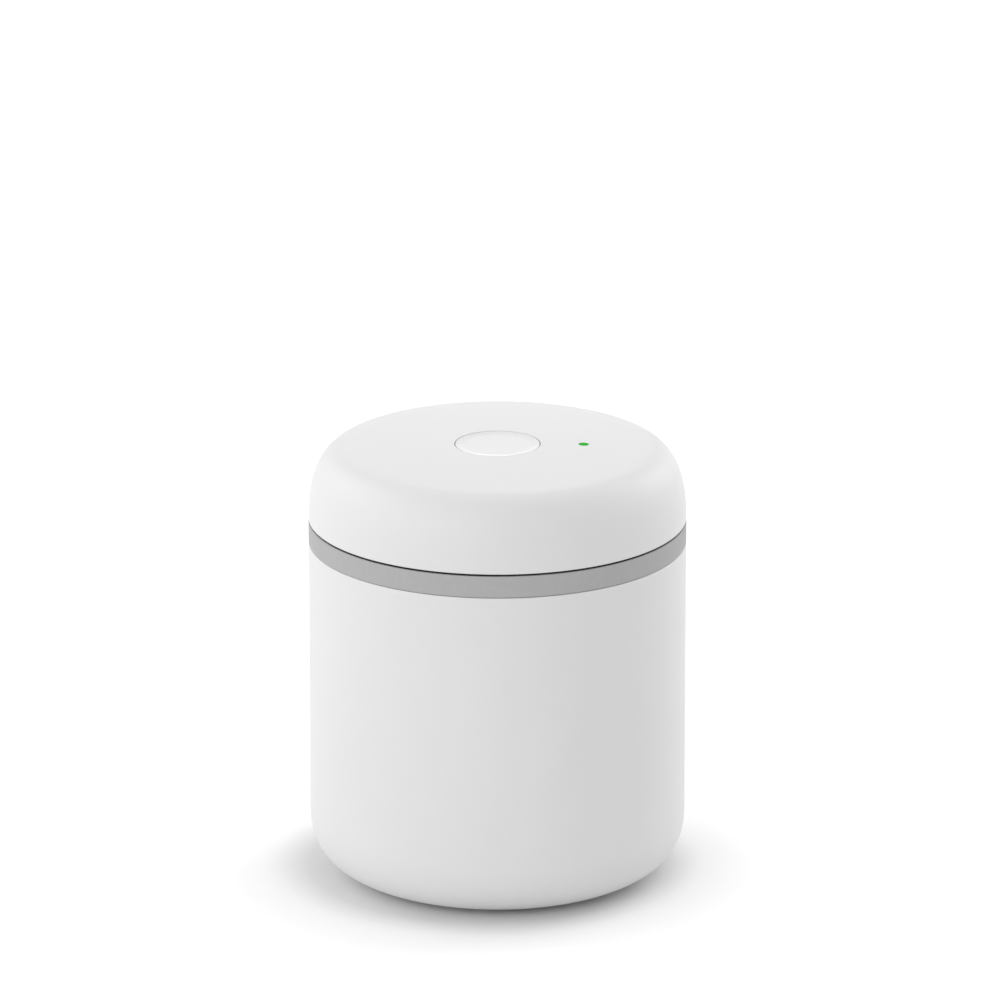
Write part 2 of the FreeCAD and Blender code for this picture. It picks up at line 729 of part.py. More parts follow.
def dome(inset):
    """The cover's domed volume, inset from its outside by a wall."""
    flat = BODY_RADIUS - SHOULDER_WIDTH
    rim = BODY_RADIUS - inset
    width = SHOULDER_WIDTH - inset
    height = SHOULDER_HEIGHT - inset

    def crowned(radius, level):
        return radius, level + CROWN * (1 - (radius / rim) ** 2)

    shoulder = [crowned(flat + width * w, cover_z + height * h) for w, h in soft_square(SHOULDER_POWER)]
    slope = 2 * CROWN * flat / rim**2
    top = cover_z + height
    hull = Outline(0, cover_z).line(*shoulder[0])
    hull.curve(shoulder, (0, 1), (-1, slope))
    hull.bow(crowned(flat / 2, top), crowned(0, top))
    return hull.solid()


def cover_height(radius):
    """Height of the cover's outside over its flat crown."""
    return cover_z + SHOULDER_HEIGHT + CROWN * (1 - (radius / BODY_RADIUS) ** 2)


def board_screw_spots():
    """Plan of the screws that hold the control board to the cover."""
    sides = [(side * BOARD_SIDE_SCREW_X, BOARD_SIDE_SCREW_Y) for side in (-1, 1)]
    rear = [(side * BOARD_REAR_SCREW_X, BOARD_REAR_SCREW_Y) for side in (-1, 1)]
    return [*sides, *rear, (0, -BOARD_FRONT_SCREW_Y)]


def frame_screw_spots():
    """Plan of the screws that hold the button frame to the cover."""
    return [polar(FRAME_SCREW_CIRCLE, 360 / FRAME_ARMS * k - 90) for k in range(FRAME_ARMS)]


def lid_screw_spots():
    """Plan of the screws that hold the base to the cover."""
    return [polar(lid_screw_circle, angle) for angle in LID_SCREW_ANGLES]


def top_cover():
    """The white shell, with its button collar, light collar, screw bosses and charging port."""
    outside = dome(0)
    lower_edge = [edge for edge in outside.Edges if edge.BoundBox.ZMax < cover_z + COVER_EDGE_RADIUS]
    outside = outside.makeFillet(COVER_EDGE_RADIUS, lower_edge)
    core_low = min(flange_top, cover_z) - OVERRUN
    core = dome(COVER_WALL / 2).fuse(upright(cover_inside, core_low, cover_z))
    shell = outside.cut(dome(COVER_WALL)).cut(upright(cover_inside, cover_z - OVERRUN, cover_z))
    collar_radius = BUTTON_RADIUS + BUTTON_FLANGE_REACH + BUTTON_GAP + BUTTON_COLLAR_WALL
    light_collar = LIGHT_RADIUS + LIGHT_FLANGE_REACH + LIGHT_FIT + LIGHT_COLLAR_WALL
    light_seat = cover_height(LIGHT_OFFSET) - LIGHT_FLANGE_DEPTH
    high = crown_z + OVERRUN
    added = [upright(collar_radius, button_low - BUTTON_COLLAR_DEPTH, high)]
    added.append(upright(light_collar, light_seat - LIGHT_COLLAR_DEPTH, high, LIGHT_OFFSET))
    added += [upright(LID_BOSS_RADIUS, flange_top, high, x, y) for x, y in lid_screw_spots()]
    added += [upright(BOARD_BOSS_RADIUS, board_top, high, x, y) for x, y in board_screw_spots()]
    added += [upright(FRAME_BOSS_RADIUS, frame_top, high, x, y) for x, y in frame_screw_spots()]
    shell = shell.multiFuse([piece.common(core) for piece in added]).removeSplitter()

    flange_room = BUTTON_RADIUS + BUTTON_FLANGE_REACH + BUTTON_GAP
    light_room = LIGHT_RADIUS + LIGHT_FLANGE_REACH + LIGHT_FIT
    lid_tip = flange_top + LID_SCREW_LENGTH - (FLANGE_THICKNESS - LID_SCREW_COUNTERBORE) + SCREW_TIP_ROOM
    board_tip = board_low + BOARD_SCREW_LENGTH + SCREW_TIP_ROOM
    frame_tip = frame_low + FRAME_SCREW_LENGTH + SCREW_TIP_ROOM
    cuts = [upright(BUTTON_RADIUS + BUTTON_GAP, button_low, high)]
    cuts.append(upright(flange_room, button_low - BUTTON_COLLAR_DEPTH - OVERRUN, button_seat))
    cuts.append(upright(LIGHT_RADIUS + LIGHT_FIT, light_seat - OVERRUN, high, LIGHT_OFFSET))
    cuts.append(upright(light_room, light_seat - LIGHT_COLLAR_DEPTH - OVERRUN, light_seat, LIGHT_OFFSET))
    for spots, low, tip, radius in (
        (lid_screw_spots(), flange_top, lid_tip, LID_SCREW_RADIUS),
        (board_screw_spots(), board_top, board_tip, SCREW_RADIUS),
        (frame_screw_spots(), frame_top, frame_tip, SCREW_RADIUS),
    ):
        cuts += [upright(radius + SCREW_FIT, low - OVERRUN, tip, x, y) for x, y in spots]
    cuts += port_cuts()
    return shell.cut(Part.makeCompound(cuts)).removeSplitter()


def cover_inside_at(height):
    """Radius of the cover's inside at a height on its shoulder."""
    level = (height - cover_z) / (SHOULDER_HEIGHT - COVER_WALL)
    flat = BODY_RADIUS - SHOULDER_WIDTH
    width = SHOULDER_WIDTH - COVER_WALL
    return flat + width * (1 - level**SHOULDER_POWER) ** (1 / SHOULDER_POWER)


socket_z = board_top + SOCKET_HEIGHT / 2
socket_mouth = cover_inside_at(board_top + SOCKET_HEIGHT) - SOCKET_WALL_GAP
socket_back = socket_mouth - SOCKET_DEPTH
port_face = cover_inside_at(board_top) + PORT_LAND


def port_cuts():
    """The slot for the charging plug and the pocket for the plug's grip."""
    width = SOCKET_WIDTH + 2 * PORT_CLEARANCE
    height = SOCKET_HEIGHT + 2 * PORT_CLEARANCE
    slot = stadium(width, height, socket_mouth, BODY_RADIUS + OVERRUN, socket_z)
    pocket = stadium(PORT_POCKET_WIDTH, PORT_POCKET_HEIGHT, port_face, BODY_RADIUS + OVERRUN, socket_z)
    return [slot, pocket]


def strap_posts(y, z, radius, x):
    """Posts on the floor for a strap over something round, with screw holes."""
    posts = []
    for side in (-1, 1):
        post_y = y + side * (radius + STRAP_FIT + STRAP_THICKNESS + STRAP_EAR / 2)
        hole_z = z + STRAP_THICKNESS - STRAP_SCREW_LENGTH - SCREW_TIP_ROOM
        post = upright(POST_RADIUS, floor_top - FLOOR_THICKNESS / 2, z, x, post_y)
        posts.append(post.cut(upright(SCREW_RADIUS + SCREW_FIT, hole_z, z + OVERRUN, x, post_y)))
    return posts


def saddle(y, z, radius, x, width):
    """A rib on the floor, hollowed for something round that lies along X."""
    rooted = floor_top - FLOOR_THICKNESS / 2
    rib = block(x - width / 2, x + width / 2, y - radius, y + radius, rooted, z - radius / 2)
    seat = rod(radius + STRAP_FIT, Vector(x - width, y, z), Vector(x + width, y, z))
    return rib.cut(seat)


def lid_base():
    """The dark base: plug, flange, lip and spigot, with the floor that carries the works."""
    lip_radius = BODY_RADIUS - LIP_SETBACK
    lip_top = band_top + LIP_THICKNESS
    bead_low = rim_z + (GASKET_WEB - GASKET_BEAD_HEIGHT) / 2 - GASKET_FIT
    bead_top = bead_low + GASKET_BEAD_HEIGHT + 2 * GASKET_FIT
    groove = plug_radius - GASKET_BEAD_REACH
    edge = PLUG_EDGE_RADIUS
    hull = Outline(0, floor_low).line(plug_radius - edge, floor_low)
    hull.round(plug_radius, floor_low + edge, plug_radius, floor_low)
    hull.line(plug_radius, bead_low).line(groove, bead_low)
    hull.line(groove, bead_top).line(plug_radius, bead_top)
    hull.line(plug_radius, flange_z).line(spigot_radius, flange_z).line(spigot_radius, band_top)
    hull.line(lip_radius, band_top).line(lip_radius, lip_top)
    hull.line(spigot_radius, lip_top).line(spigot_radius, spigot_top)
    hull.line(spigot_inside, spigot_top).line(spigot_inside, flange_top).line(plug_inside, flange_top)
    hull.line(plug_inside, floor_top).line(0, floor_top)

    rooted = floor_top - FLOOR_THICKNESS / 2
    boot_x = -PUMP_REACH + BOOT_START + BOOT_LENGTH / 2
    pump_room = PUMP_RADIUS + PUMP_FLOOR_CLEARANCE
    room_start = Vector(case_z - PUMP_REACH - PUMP_FLOOR_CLEARANCE, pump_y, pump_z)
    room_end = Vector(head_end - PUMP_REACH + PUMP_FLOOR_CLEARANCE, pump_y, pump_z)
    added = [upright(PAD_RADIUS, rooted, pad_top).cut(rod(pump_room, room_start, room_end))]
    added += strap_posts(pump_y, pump_z, boot_radius, boot_x)
    added.append(saddle(pump_y, pump_z, boot_radius, boot_x, BOOT_LENGTH))
    added += strap_posts(cell_y, cell_z, CELL_RADIUS, CELL_STRAP_X)
    for x in (-CELL_RIB_X, CELL_RIB_X):
        added.append(saddle(cell_y, cell_z, CELL_RADIUS, x, RIB_WIDTH))
    ledge_z = valve_z - VALVE_FRAME_WIDTH / 2
    ledge_length = VALVE_TAB + VALVE_FRAME_LENGTH
    ledge_x = valve_x - VALVE_TAB + ledge_length / 2
    added.append(tile(ledge_length, 2 * POST_RADIUS, rooted, ledge_z, ledge_x, MANIFOLD_Y))
    base = hull.solid().multiFuse(added).removeSplitter()

    counterbore = flange_z + LID_SCREW_COUNTERBORE
    cuts = []
    for x, y in lid_screw_spots():
        cuts.append(upright(counterbore_radius, flange_z - OVERRUN, counterbore, x, y))
        cuts.append(upright(LID_SCREW_RADIUS + SCREW_CLEARANCE, flange_z, flange_top + OVERRUN, x, y))
    filter_top = floor_low + GRILLE_THICKNESS + FILTER_THICKNESS
    cuts.append(upright(FILTER_RADIUS + FILTER_FIT, floor_low - OVERRUN, filter_top))
    cuts.append(upright(FILTER_RADIUS - PLENUM_LEDGE, filter_top, filter_top + PLENUM_DEPTH))
    hole = MANIFOLD_SPIGOT_RADIUS + MANIFOLD_SPIGOT_FIT
    cuts.append(upright(hole, filter_top, pad_top + OVERRUN, 0, MANIFOLD_Y))
    seal_bed = hole + 2 * SEAL_RADIUS + SEAL_FIT
    cuts.append(upright(seal_bed, pad_top - 2 * SEAL_RADIUS, pad_top + OVERRUN, 0, MANIFOLD_Y))
    bite = MANIFOLD_SCREW_LENGTH - MANIFOLD_FLANGE_THICKNESS + SCREW_TIP_ROOM / 2
    for side in (-1, 1):
        y = MANIFOLD_Y + side * MANIFOLD_SCREW_SPREAD
        cuts.append(upright(SCREW_RADIUS + SCREW_FIT, pad_top - bite, pad_top + OVERRUN, 0, y))
    notch = SOCKET_WIDTH / 2 + PORT_CLEARANCE
    notch_y = socket_back - PORT_CLEARANCE
    cuts.append(block(-notch, notch, notch_y, BODY_RADIUS, board_low - PORT_CLEARANCE, crown_z))
    tab_hole = ledge_z + VALVE_FRAME_PLATE - VALVE_SCREW_LENGTH - SCREW_TIP_ROOM
    tab_x = valve_x - VALVE_TAB / 2
    cuts.append(upright(SCREW_RADIUS + SCREW_FIT, tab_hole, ledge_z + OVERRUN, tab_x, MANIFOLD_Y))
    return base.cut(Part.makeCompound(cuts)).removeSplitter()


def lid_screws():
    """The screws under the gasket that hold the base to the cover."""
    head_z = flange_z + LID_SCREW_COUNTERBORE
    sizes = (LID_SCREW_HEAD_RADIUS, LID_SCREW_HEAD_HEIGHT, LID_SCREW_RADIUS, LID_SCREW_LENGTH)
    return [screw(*sizes, Vector(x, y, head_z), Vector(0, 0, 1)) for x, y in lid_screw_spots()]


# Button and light


def button_cap():
    """The push button: a thin cap with a skirt, a keeper flange and a stem."""
    top = crown_z + BUTTON_PROUD
    flange = BUTTON_RADIUS + BUTTON_FLANGE_REACH
    inside = BUTTON_RADIUS - BUTTON_SKIRT_WALL
    edge = BUTTON_EDGE_RADIUS
    cap = Outline(0, plunger_top).line(STEM_RADIUS, plunger_top).line(STEM_RADIUS, button_under)
    cap.line(inside, button_under).line(inside, button_low).line(flange, button_low)
    cap.line(flange, button_seat).line(BUTTON_RADIUS, button_seat).line(BUTTON_RADIUS, top - edge)
    cap.round(BUTTON_RADIUS - edge, top, BUTTON_RADIUS, top).line(0, top)
    return cap.solid()


def button_spring():
    """The coil spring that lifts the button back."""
    low = frame_top + SPRING_SEAT_GAP
    return coil_spring(SPRING_RADIUS, SPRING_WIRE_RADIUS, SPRING_TURNS, low, button_under - SPRING_SEAT_GAP)


def button_frame():
    """The bridge under the button, with a bush for the stem."""
    arms = [upright(FRAME_HUB_RADIUS, frame_low, frame_top)]
    for x, y in frame_screw_spots():
        arm = block(0, FRAME_SCREW_CIRCLE, -FRAME_ARM_WIDTH / 2, FRAME_ARM_WIDTH / 2, frame_low, frame_top)
        arms.append(turned(arm, math.degrees(math.atan2(y, x))))
        arms.append(upright(FRAME_ARM_WIDTH / 2, frame_low, frame_top, x, y))
    holes = [upright(STEM_RADIUS + STEM_CLEARANCE, frame_low - OVERRUN, frame_top + OVERRUN)]
    for x, y in frame_screw_spots():
        holes.append(upright(SCREW_RADIUS + SCREW_FIT, frame_low - OVERRUN, frame_top + OVERRUN, x, y))
    return joined(arms).cut(Part.makeCompound(holes))


def frame_screws():
    """The screws that hold the button frame."""
    heads = [Vector(x, y, frame_low) for x, y in frame_screw_spots()]
    return [small_screw(FRAME_SCREW_LENGTH, head, Vector(0, 0, 1)) for head in heads]


def light_pipe():
    """The clear rod from the board's light to the cover's top."""
    seat = cover_height(LIGHT_OFFSET) - LIGHT_FLANGE_DEPTH
    low = board_top + LED_HEIGHT + LED_GAP
    pipe = upright(LIGHT_RADIUS, low, crown_z + OVERRUN, LIGHT_OFFSET).common(dome(0))
    flange = upright(LIGHT_RADIUS + LIGHT_FLANGE_REACH, seat - LIGHT_FLANGE_THICKNESS, seat, LIGHT_OFFSET)
    return pipe.fuse(flange).removeSplitter()


# Control board


def control_board():
    """The board under the cover: a disc with a tongue for the charging socket."""
    tongue_end = socket_mouth - BOARD_TONGUE_CLEARANCE
    half = BOARD_TONGUE_WIDTH / 2
    disc = upright(BOARD_RADIUS, board_low, board_top)
    board = disc.fuse(block(-half, half, 0, tongue_end, board_low, board_top)).removeSplitter()
    holes = [
        upright(SCREW_RADIUS + SCREW_FIT, board_low - OVERRUN, board_top + OVERRUN, x, y)
        for x, y in board_screw_spots()
    ]
    return board.cut(Part.makeCompound(holes))


def board_screws():
    """The screws that hold the board to the cover's bosses."""
    heads = [Vector(x, y, board_low) for x, y in board_screw_spots()]
    return [small_screw(BOARD_SCREW_LENGTH, head, Vector(0, 0, 1)) for head in heads]


def board_chips():
    """Controller, charger, choke and capacitors on the board's top."""
    column, row = CHIP_COLUMN_X, CHIP_ROW_Y
    chips = [
        tile(CONTROLLER_SIDE, CONTROLLER_SIDE, board_top, board_top + CONTROLLER_HEIGHT, -column, row),
        tile(CHARGER_SIDE, CHARGER_SIDE, board_top, board_top + CHARGER_HEIGHT, column, row),
        tile(COIL_SIDE, COIL_SIDE, board_top, board_top + COIL_HEIGHT, column, -row),
    ]
    capacitor_top = board_top + CAPACITOR_HEIGHT
    for k in (-1, 0, 1):
        x = -column + k * 2 * CAPACITOR_LENGTH
        chips.append(tile(CAPACITOR_LENGTH, CAPACITOR_WIDTH, board_top, capacitor_top, x, -row))
    return chips


def tact_switch():
    """The switch under the button."""
    body = tile(SWITCH_SIDE, SWITCH_SIDE, board_top, board_top + SWITCH_HEIGHT)
    root = board_top + SWITCH_HEIGHT - SWITCH_PLUNGER_ROOT - BUTTON_TRAVEL
    hole = SWITCH_PLUNGER_RADIUS + SWITCH_PLUNGER_FIT
    return body.cut(upright(hole, root - SCREW_TIP_ROOM, board_top + SWITCH_HEIGHT + OVERRUN))


def switch_plunger():
    """The switch's own moving pin."""
    return upright(SWITCH_PLUNGER_RADIUS, board_top + SWITCH_HEIGHT - SWITCH_PLUNGER_ROOT, plunger_top)


def status_led():
    """The green light on the board."""
    return tile(LED_LENGTH, LED_WIDTH, board_top, board_top + LED_HEIGHT, LIGHT_OFFSET)


def sensor_nose_end():
    """Height of the pressure sensor's nose."""
    return board_low - SENSOR_HEIGHT - NOZZLE_LENGTH + NOZZLE_TIP_GAP


def pressure_sensor():
    """The vacuum sensor under the board, with a nose for its tube."""
    body = tile(SENSOR_SIDE, SENSOR_SIDE, board_low - SENSOR_HEIGHT, board_low, 0, MANIFOLD_Y)
    root = board_low - SENSOR_HEIGHT
    length = root - sensor_nose_end()
    nose = aimed(nozzle(0, length), Vector(0, MANIFOLD_Y, root), Vector(0, 0, -1))
    bore = upright(NOZZLE_BORE, sensor_nose_end() - OVERRUN, root + SENSOR_HEIGHT / 2, 0, MANIFOLD_Y)
    return body.fuse(nose).cut(bore)


def usb_socket():
    """The charging socket's steel shell."""
    outside = stadium(SOCKET_WIDTH, SOCKET_HEIGHT, socket_back, socket_mouth, socket_z)
    width = SOCKET_WIDTH - 2 * SOCKET_SHELL
    height = SOCKET_HEIGHT - 2 * SOCKET_SHELL
    inside = stadium(width, height, socket_back + SOCKET_BACK, socket_mouth + OVERRUN, socket_z)
    return outside.cut(inside)


def usb_tongue():
    """The contact tongue inside the charging socket."""
    half = TONGUE_THICKNESS / 2
    start = socket_back + SOCKET_BACK
    end = socket_mouth - TONGUE_SETBACK
    return block(-TONGUE_WIDTH / 2, TONGUE_WIDTH / 2, start, end, socket_z - half, socket_z + half)


# Vacuum pump, in its own frame along Z from the motor's back


def motor_can():
    """The motor's steel cup, closed at the front around its bush."""
    inner = MOTOR_RADIUS - MOTOR_WALL
    front = MOTOR_LENGTH - MOTOR_WALL
    can = upright(MOTOR_RADIUS, 0, MOTOR_LENGTH).cut(upright(inner, -OVERRUN, front))
    holes = [upright(BUSH_RADIUS + SHAFT_CLEARANCE, front - OVERRUN, MOTOR_LENGTH + OVERRUN)]
    for x, y in motor_screw_spots():
        holes.append(upright(SCREW_RADIUS + SCREW_FIT, front - OVERRUN, MOTOR_LENGTH + OVERRUN, x, y))
    return can.cut(Part.makeCompound(holes))


def motor_screw_spots():
    """Plan of the screws between the pump's case and the motor."""
    return [polar(MOTOR_SCREW_CIRCLE, 360 / MOTOR_SCREWS * k + 90) for k in range(MOTOR_SCREWS)]


def motor_end_cap():
    """The plastic cap in the motor's back, around the rear bush."""
    outer = MOTOR_RADIUS - MOTOR_WALL - MOTOR_CAP_FIT
    cap = upright(outer, 0, MOTOR_CAP_THICKNESS)
    hole = upright(BUSH_RADIUS + SHAFT_CLEARANCE, -OVERRUN, MOTOR_CAP_THICKNESS + OVERRUN)
    return cap.cut(hole)


def motor_bushes():
    """The bronze bushes at both ends of the motor."""
    inner = SHAFT_RADIUS + SHAFT_CLEARANCE
    front = MOTOR_LENGTH + BUSH_PROUD
    rear = -BUSH_PROUD
    return [
        ring(BUSH_RADIUS, inner, front - BUSH_LENGTH, front),
        ring(BUSH_RADIUS, inner, rear, rear + BUSH_LENGTH),
    ]


def motor_magnets():
    """Two magnet shells inside the can."""
    outer = MOTOR_RADIUS - MOTOR_WALL - MAGNET_FIT
    low = (MOTOR_LENGTH - MAGNET_LENGTH) / 2
    sector = Part.makeCylinder(outer, MAGNET_LENGTH, Vector(0, 0, low), Vector(0, 0, 1), MAGNET_ANGLE)
    shell = sector.cut(upright(outer - MAGNET_THICKNESS, low - OVERRUN, low + MAGNET_LENGTH + OVERRUN))
    shell = turned(shell, -MAGNET_ANGLE / 2)
    return [shell, turned(shell, 180)]


def armature_core():
    """The three-pole iron core on the shaft."""
    low, high = armature_z, armature_z + ARMATURE_LENGTH
    shoe_inside = armature_radius - POLE_SHOE_THICKNESS
    sector = Part.makeCylinder(
        armature_radius, ARMATURE_LENGTH, Vector(0, 0, low), Vector(0, 0, 1), POLE_SHOE_ANGLE
    )
    shoe = turned(sector.cut(upright(shoe_inside, low - OVERRUN, high + OVERRUN)), -POLE_SHOE_ANGLE / 2)
    reach = shoe_inside + POLE_SHOE_THICKNESS / 2
    neck = block(0, reach, -POLE_NECK_WIDTH / 2, POLE_NECK_WIDTH / 2, low, high)
    pieces = [upright(ARMATURE_HUB_RADIUS, low, high)]
    for k in range(POLES):
        pieces += [turned(neck, 360 / POLES * k), turned(shoe, 360 / POLES * k)]
    core = joined(pieces)
    return core.cut(upright(SHAFT_RADIUS + PIN_FIT, low - OVERRUN, high + OVERRUN))


def armature_windings():
    """A copper winding round each pole's neck."""
    low = armature_z - WINDING_OVERHANG
    high = armature_z + ARMATURE_LENGTH + WINDING_OVERHANG
    inner = ARMATURE_HUB_RADIUS + WINDING_FIT + WINDING_OVERHANG
    outer = armature_radius - POLE_SHOE_THICKNESS - WINDING_FIT
    room = upright(outer, low - OVERRUN, high + OVERRUN)
    hole = POLE_NECK_WIDTH / 2 + WINDING_FIT
    coil = block(inner, outer, -WINDING_WIDTH / 2, WINDING_WIDTH / 2, low, high).common(room)
    gap_low = armature_z - WINDING_FIT
    gap_high = armature_z + ARMATURE_LENGTH + WINDING_FIT
    coil = coil.cut(block(0, armature_radius, -hole, hole, gap_low, gap_high))
    return [turned(coil, 360 / POLES * k) for k in range(POLES)]


def commutator():
    """The copper commutator on the shaft."""
    low = MOTOR_CAP_THICKNESS + BUSH_PROUD
    return ring(COMMUTATOR_RADIUS, SHAFT_RADIUS + PIN_FIT, low, low + COMMUTATOR_LENGTH)


def motor_shaft():
    """The motor's shaft, from its rear stub to its grip in the eccentric."""
    return upright(SHAFT_RADIUS, -BUSH_PROUD - SHAFT_END_STUB, eccentric_z + SHAFT_GRIP)


def terminal_spots():
    """Plan of the motor's solder tabs."""
    return [(TERMINAL_SIDE, side * TERMINAL_SPREAD) for side in (-1, 1)]


def motor_terminals():
    """The two solder tabs behind the motor."""
    return [
        tile(TERMINAL_THICKNESS, TERMINAL_WIDTH, -TERMINAL_LENGTH, 0, x, y) for x, y in terminal_spots()
    ]


def head_screw_spots():
    """Plan of the long screws through the pump's head."""
    return [polar(HEAD_SCREW_CIRCLE, angle) for angle in HEAD_SCREW_ANGLES]


def crank_case():
    """The case between the motor and the rubber cups."""
    inner = PUMP_RADIUS - CASE_WALL
    inside_z = case_z + CASE_FLOOR
    room = upright(inner, inside_z, case_end + OVERRUN)
    shell = upright(PUMP_RADIUS, case_z, case_end).cut(room)
    bosses = [upright(CASE_BOSS_RADIUS, case_z, case_end, x, y) for x, y in head_screw_spots()]
    whole = upright(PUMP_RADIUS, case_z, case_end)
    shell = joined([shell, *[boss.common(whole) for boss in bosses]])
    bite = case_end - HEAD_SCREW_BITE - SCREW_TIP_ROOM
    cuts = [upright(BUSH_RADIUS + SHAFT_CLEARANCE, case_z - OVERRUN, inside_z + OVERRUN)]
    for x, y in head_screw_spots():
        cuts.append(upright(SCREW_RADIUS + SCREW_FIT, bite, case_end + OVERRUN, x, y))
    cuts += sunk_screws(SCREW_FIT)
    return shell.cut(Part.makeCompound(cuts))


def sunk_screws(fit):
    """Countersunk screws in the case's floor, or the holes that fit them."""
    top = case_z + CASE_FLOOR
    low = top - MOTOR_SCREW_HEAD_DEPTH
    shapes = []
    for x, y in motor_screw_spots():
        shank = upright(SCREW_RADIUS + fit, top - MOTOR_SCREW_LENGTH - fit, top, x, y)
        wide = SCREW_HEAD_RADIUS + fit
        head = Part.makeCone(SCREW_RADIUS + fit, wide, MOTOR_SCREW_HEAD_DEPTH, Vector(x, y, low))
        shapes.append(shank.fuse(head).removeSplitter())
    return shapes


def eccentric():
    """The crank wheel on the shaft, bored on a slant for the drive pin."""
    wheel = upright(ECCENTRIC_RADIUS, eccentric_z, eccentric_end)
    bore = upright(SHAFT_RADIUS + PIN_FIT, eccentric_z - OVERRUN, eccentric_z + SHAFT_GRIP)
    slant = upright(PIN_RADIUS + PIN_FIT, -eccentric_axis_length - PIN_GRIP, 0)
    return wheel.cut(bore).cut(placed(slant, SWING_PLACE))


def drive_pin():
    """The slanted steel pin that swings the three-armed frame."""
    high = -SWING_ARM_DEPTH - PIN_END_ROOM
    return placed(upright(PIN_RADIUS, -eccentric_axis_length - PIN_GRIP, high), SWING_PLACE)


def swing_frame():
    """The three-armed frame that nutates on the drive pin."""
    top = -SWING_ARM_DEPTH
    low = top - SWING_ARM_THICKNESS
    hub = upright(SWING_HUB_RADIUS, SWING_HUB_GAP - eccentric_axis_length, top)
    half = SWING_ARM_WIDTH / 2
    reach = CUP_CIRCLE
    pieces = [hub]
    holes = [upright(PIN_RADIUS + PIN_CLEARANCE, -eccentric_axis_length, top - PIN_END_ROOM / 2)]
    for angle in CUP_ANGLES:
        x, y = polar(reach, angle)
        pieces.append(turned(block(0, reach, -half, half, low, top), angle))
        pieces.append(upright(half, low, top, x, y))
        holes.append(upright(NUB_RADIUS + NUB_CLEARANCE, low - OVERRUN, top + OVERRUN, x, y))
    frame = joined(pieces).cut(Part.makeCompound(holes))
    return placed(frame, SWING_PLACE)


def swing_point(angle, level):
    """A point of the swinging frame, and the frame's axis there."""
    x, y = polar(CUP_CIRCLE, angle)
    return SWING_PLACE.multVec(Vector(x, y, level)), SWING_PLACE.Rotation.multVec(Vector(0, 0, 1))


def loft_cup(mouth_radius_here, mouth_z, foot_radius, foot, axis, angle):
    """A tapered plug from a level mouth to a tilted foot."""
    x, y = polar(CUP_CIRCLE, angle)
    mouth = Part.Wire(Part.Circle(Vector(x, y, mouth_z), Vector(0, 0, 1), mouth_radius_here).toShape())
    base = Part.Wire(Part.Circle(foot, axis, foot_radius).toShape())
    return Part.makeLoft([base, mouth], True, True)


def diaphragm():
    """The rubber sheet with three cups, each buttoned into an arm of the swinging frame."""
    sheet = upright(PUMP_RADIUS - STRAP_FIT, case_end, plate_z)
    pieces = [sheet]
    hollows = []
    for angle in CUP_ANGLES:
        foot, axis = swing_point(angle, CUP_SEAT_GAP - SWING_ARM_DEPTH)
        pieces.append(loft_cup(CUP_MOUTH_RADIUS, case_end, CUP_FOOT_RADIUS, foot, axis, angle))
        low = -SWING_ARM_DEPTH - SWING_ARM_THICKNESS - NUB_PROUD
        nub_end, axis = swing_point(angle, low)
        pieces.append(rod(NUB_RADIUS, nub_end, foot + axis * CUP_SEAT_GAP))
        bottom = foot + axis * CUP_WALL
        mouth = CUP_MOUTH_RADIUS - CUP_WALL
        hollows.append(loft_cup(mouth, plate_z, CUP_FOOT_RADIUS - CUP_WALL, bottom, axis, angle))
    rubber = joined(pieces)
    for x, y in head_screw_spots():
        hollows.append(upright(SCREW_RADIUS + SCREW_FIT, case_end - OVERRUN, plate_z + OVERRUN, x, y))
    for hollow in hollows:
        rubber = rubber.cut(hollow)
    return rubber


def valve_plate():
    """The plate over the cups, with inlet and outlet holes."""
    plate = upright(PUMP_RADIUS, plate_z, head_z)
    low, high = plate_z - OVERRUN, head_z + OVERRUN
    holes = [upright(FLAP_STEM_RADIUS + FLAP_FIT, low, high)]
    for angle in CUP_ANGLES:
        x, y = polar(INLET_CIRCLE, angle)
        holes.append(upright(FLAP_STEM_RADIUS + FLAP_FIT, low, high, x, y))
        for side in (-1, 1):
            spread = math.degrees(VALVE_HOLE_SPREAD / INLET_CIRCLE)
            holes.append(upright(VALVE_HOLE_RADIUS, low, high, *polar(INLET_CIRCLE, angle + side * spread)))
        holes.append(upright(VALVE_HOLE_RADIUS, low, high, *polar(OUTLET_CIRCLE, angle)))
    for x, y in head_screw_spots():
        holes.append(upright(SCREW_RADIUS + SCREW_FIT, low, high, x, y))
    return plate.cut(Part.makeCompound(holes))


def inlet_flaps():
    """The umbrella valves that close the inlet holes from the cup side."""
    flaps = []
    for angle in CUP_ANGLES:
        x, y = polar(INLET_CIRCLE, angle)
        cap = upright(INLET_FLAP_RADIUS, plate_z - FLAP_THICKNESS, plate_z, x, y)
        flaps.append(joined([cap, upright(FLAP_STEM_RADIUS, plate_z - FLAP_THICKNESS, head_z, x, y)]))
    return flaps


def outlet_flap():
    """The rubber disc that closes the outlet holes from the head side."""
    disc = upright(OUTLET_FLAP_RADIUS, head_z, head_z + FLAP_THICKNESS)
    return joined([disc, upright(FLAP_STEM_RADIUS, plate_z, head_z + FLAP_THICKNESS)])


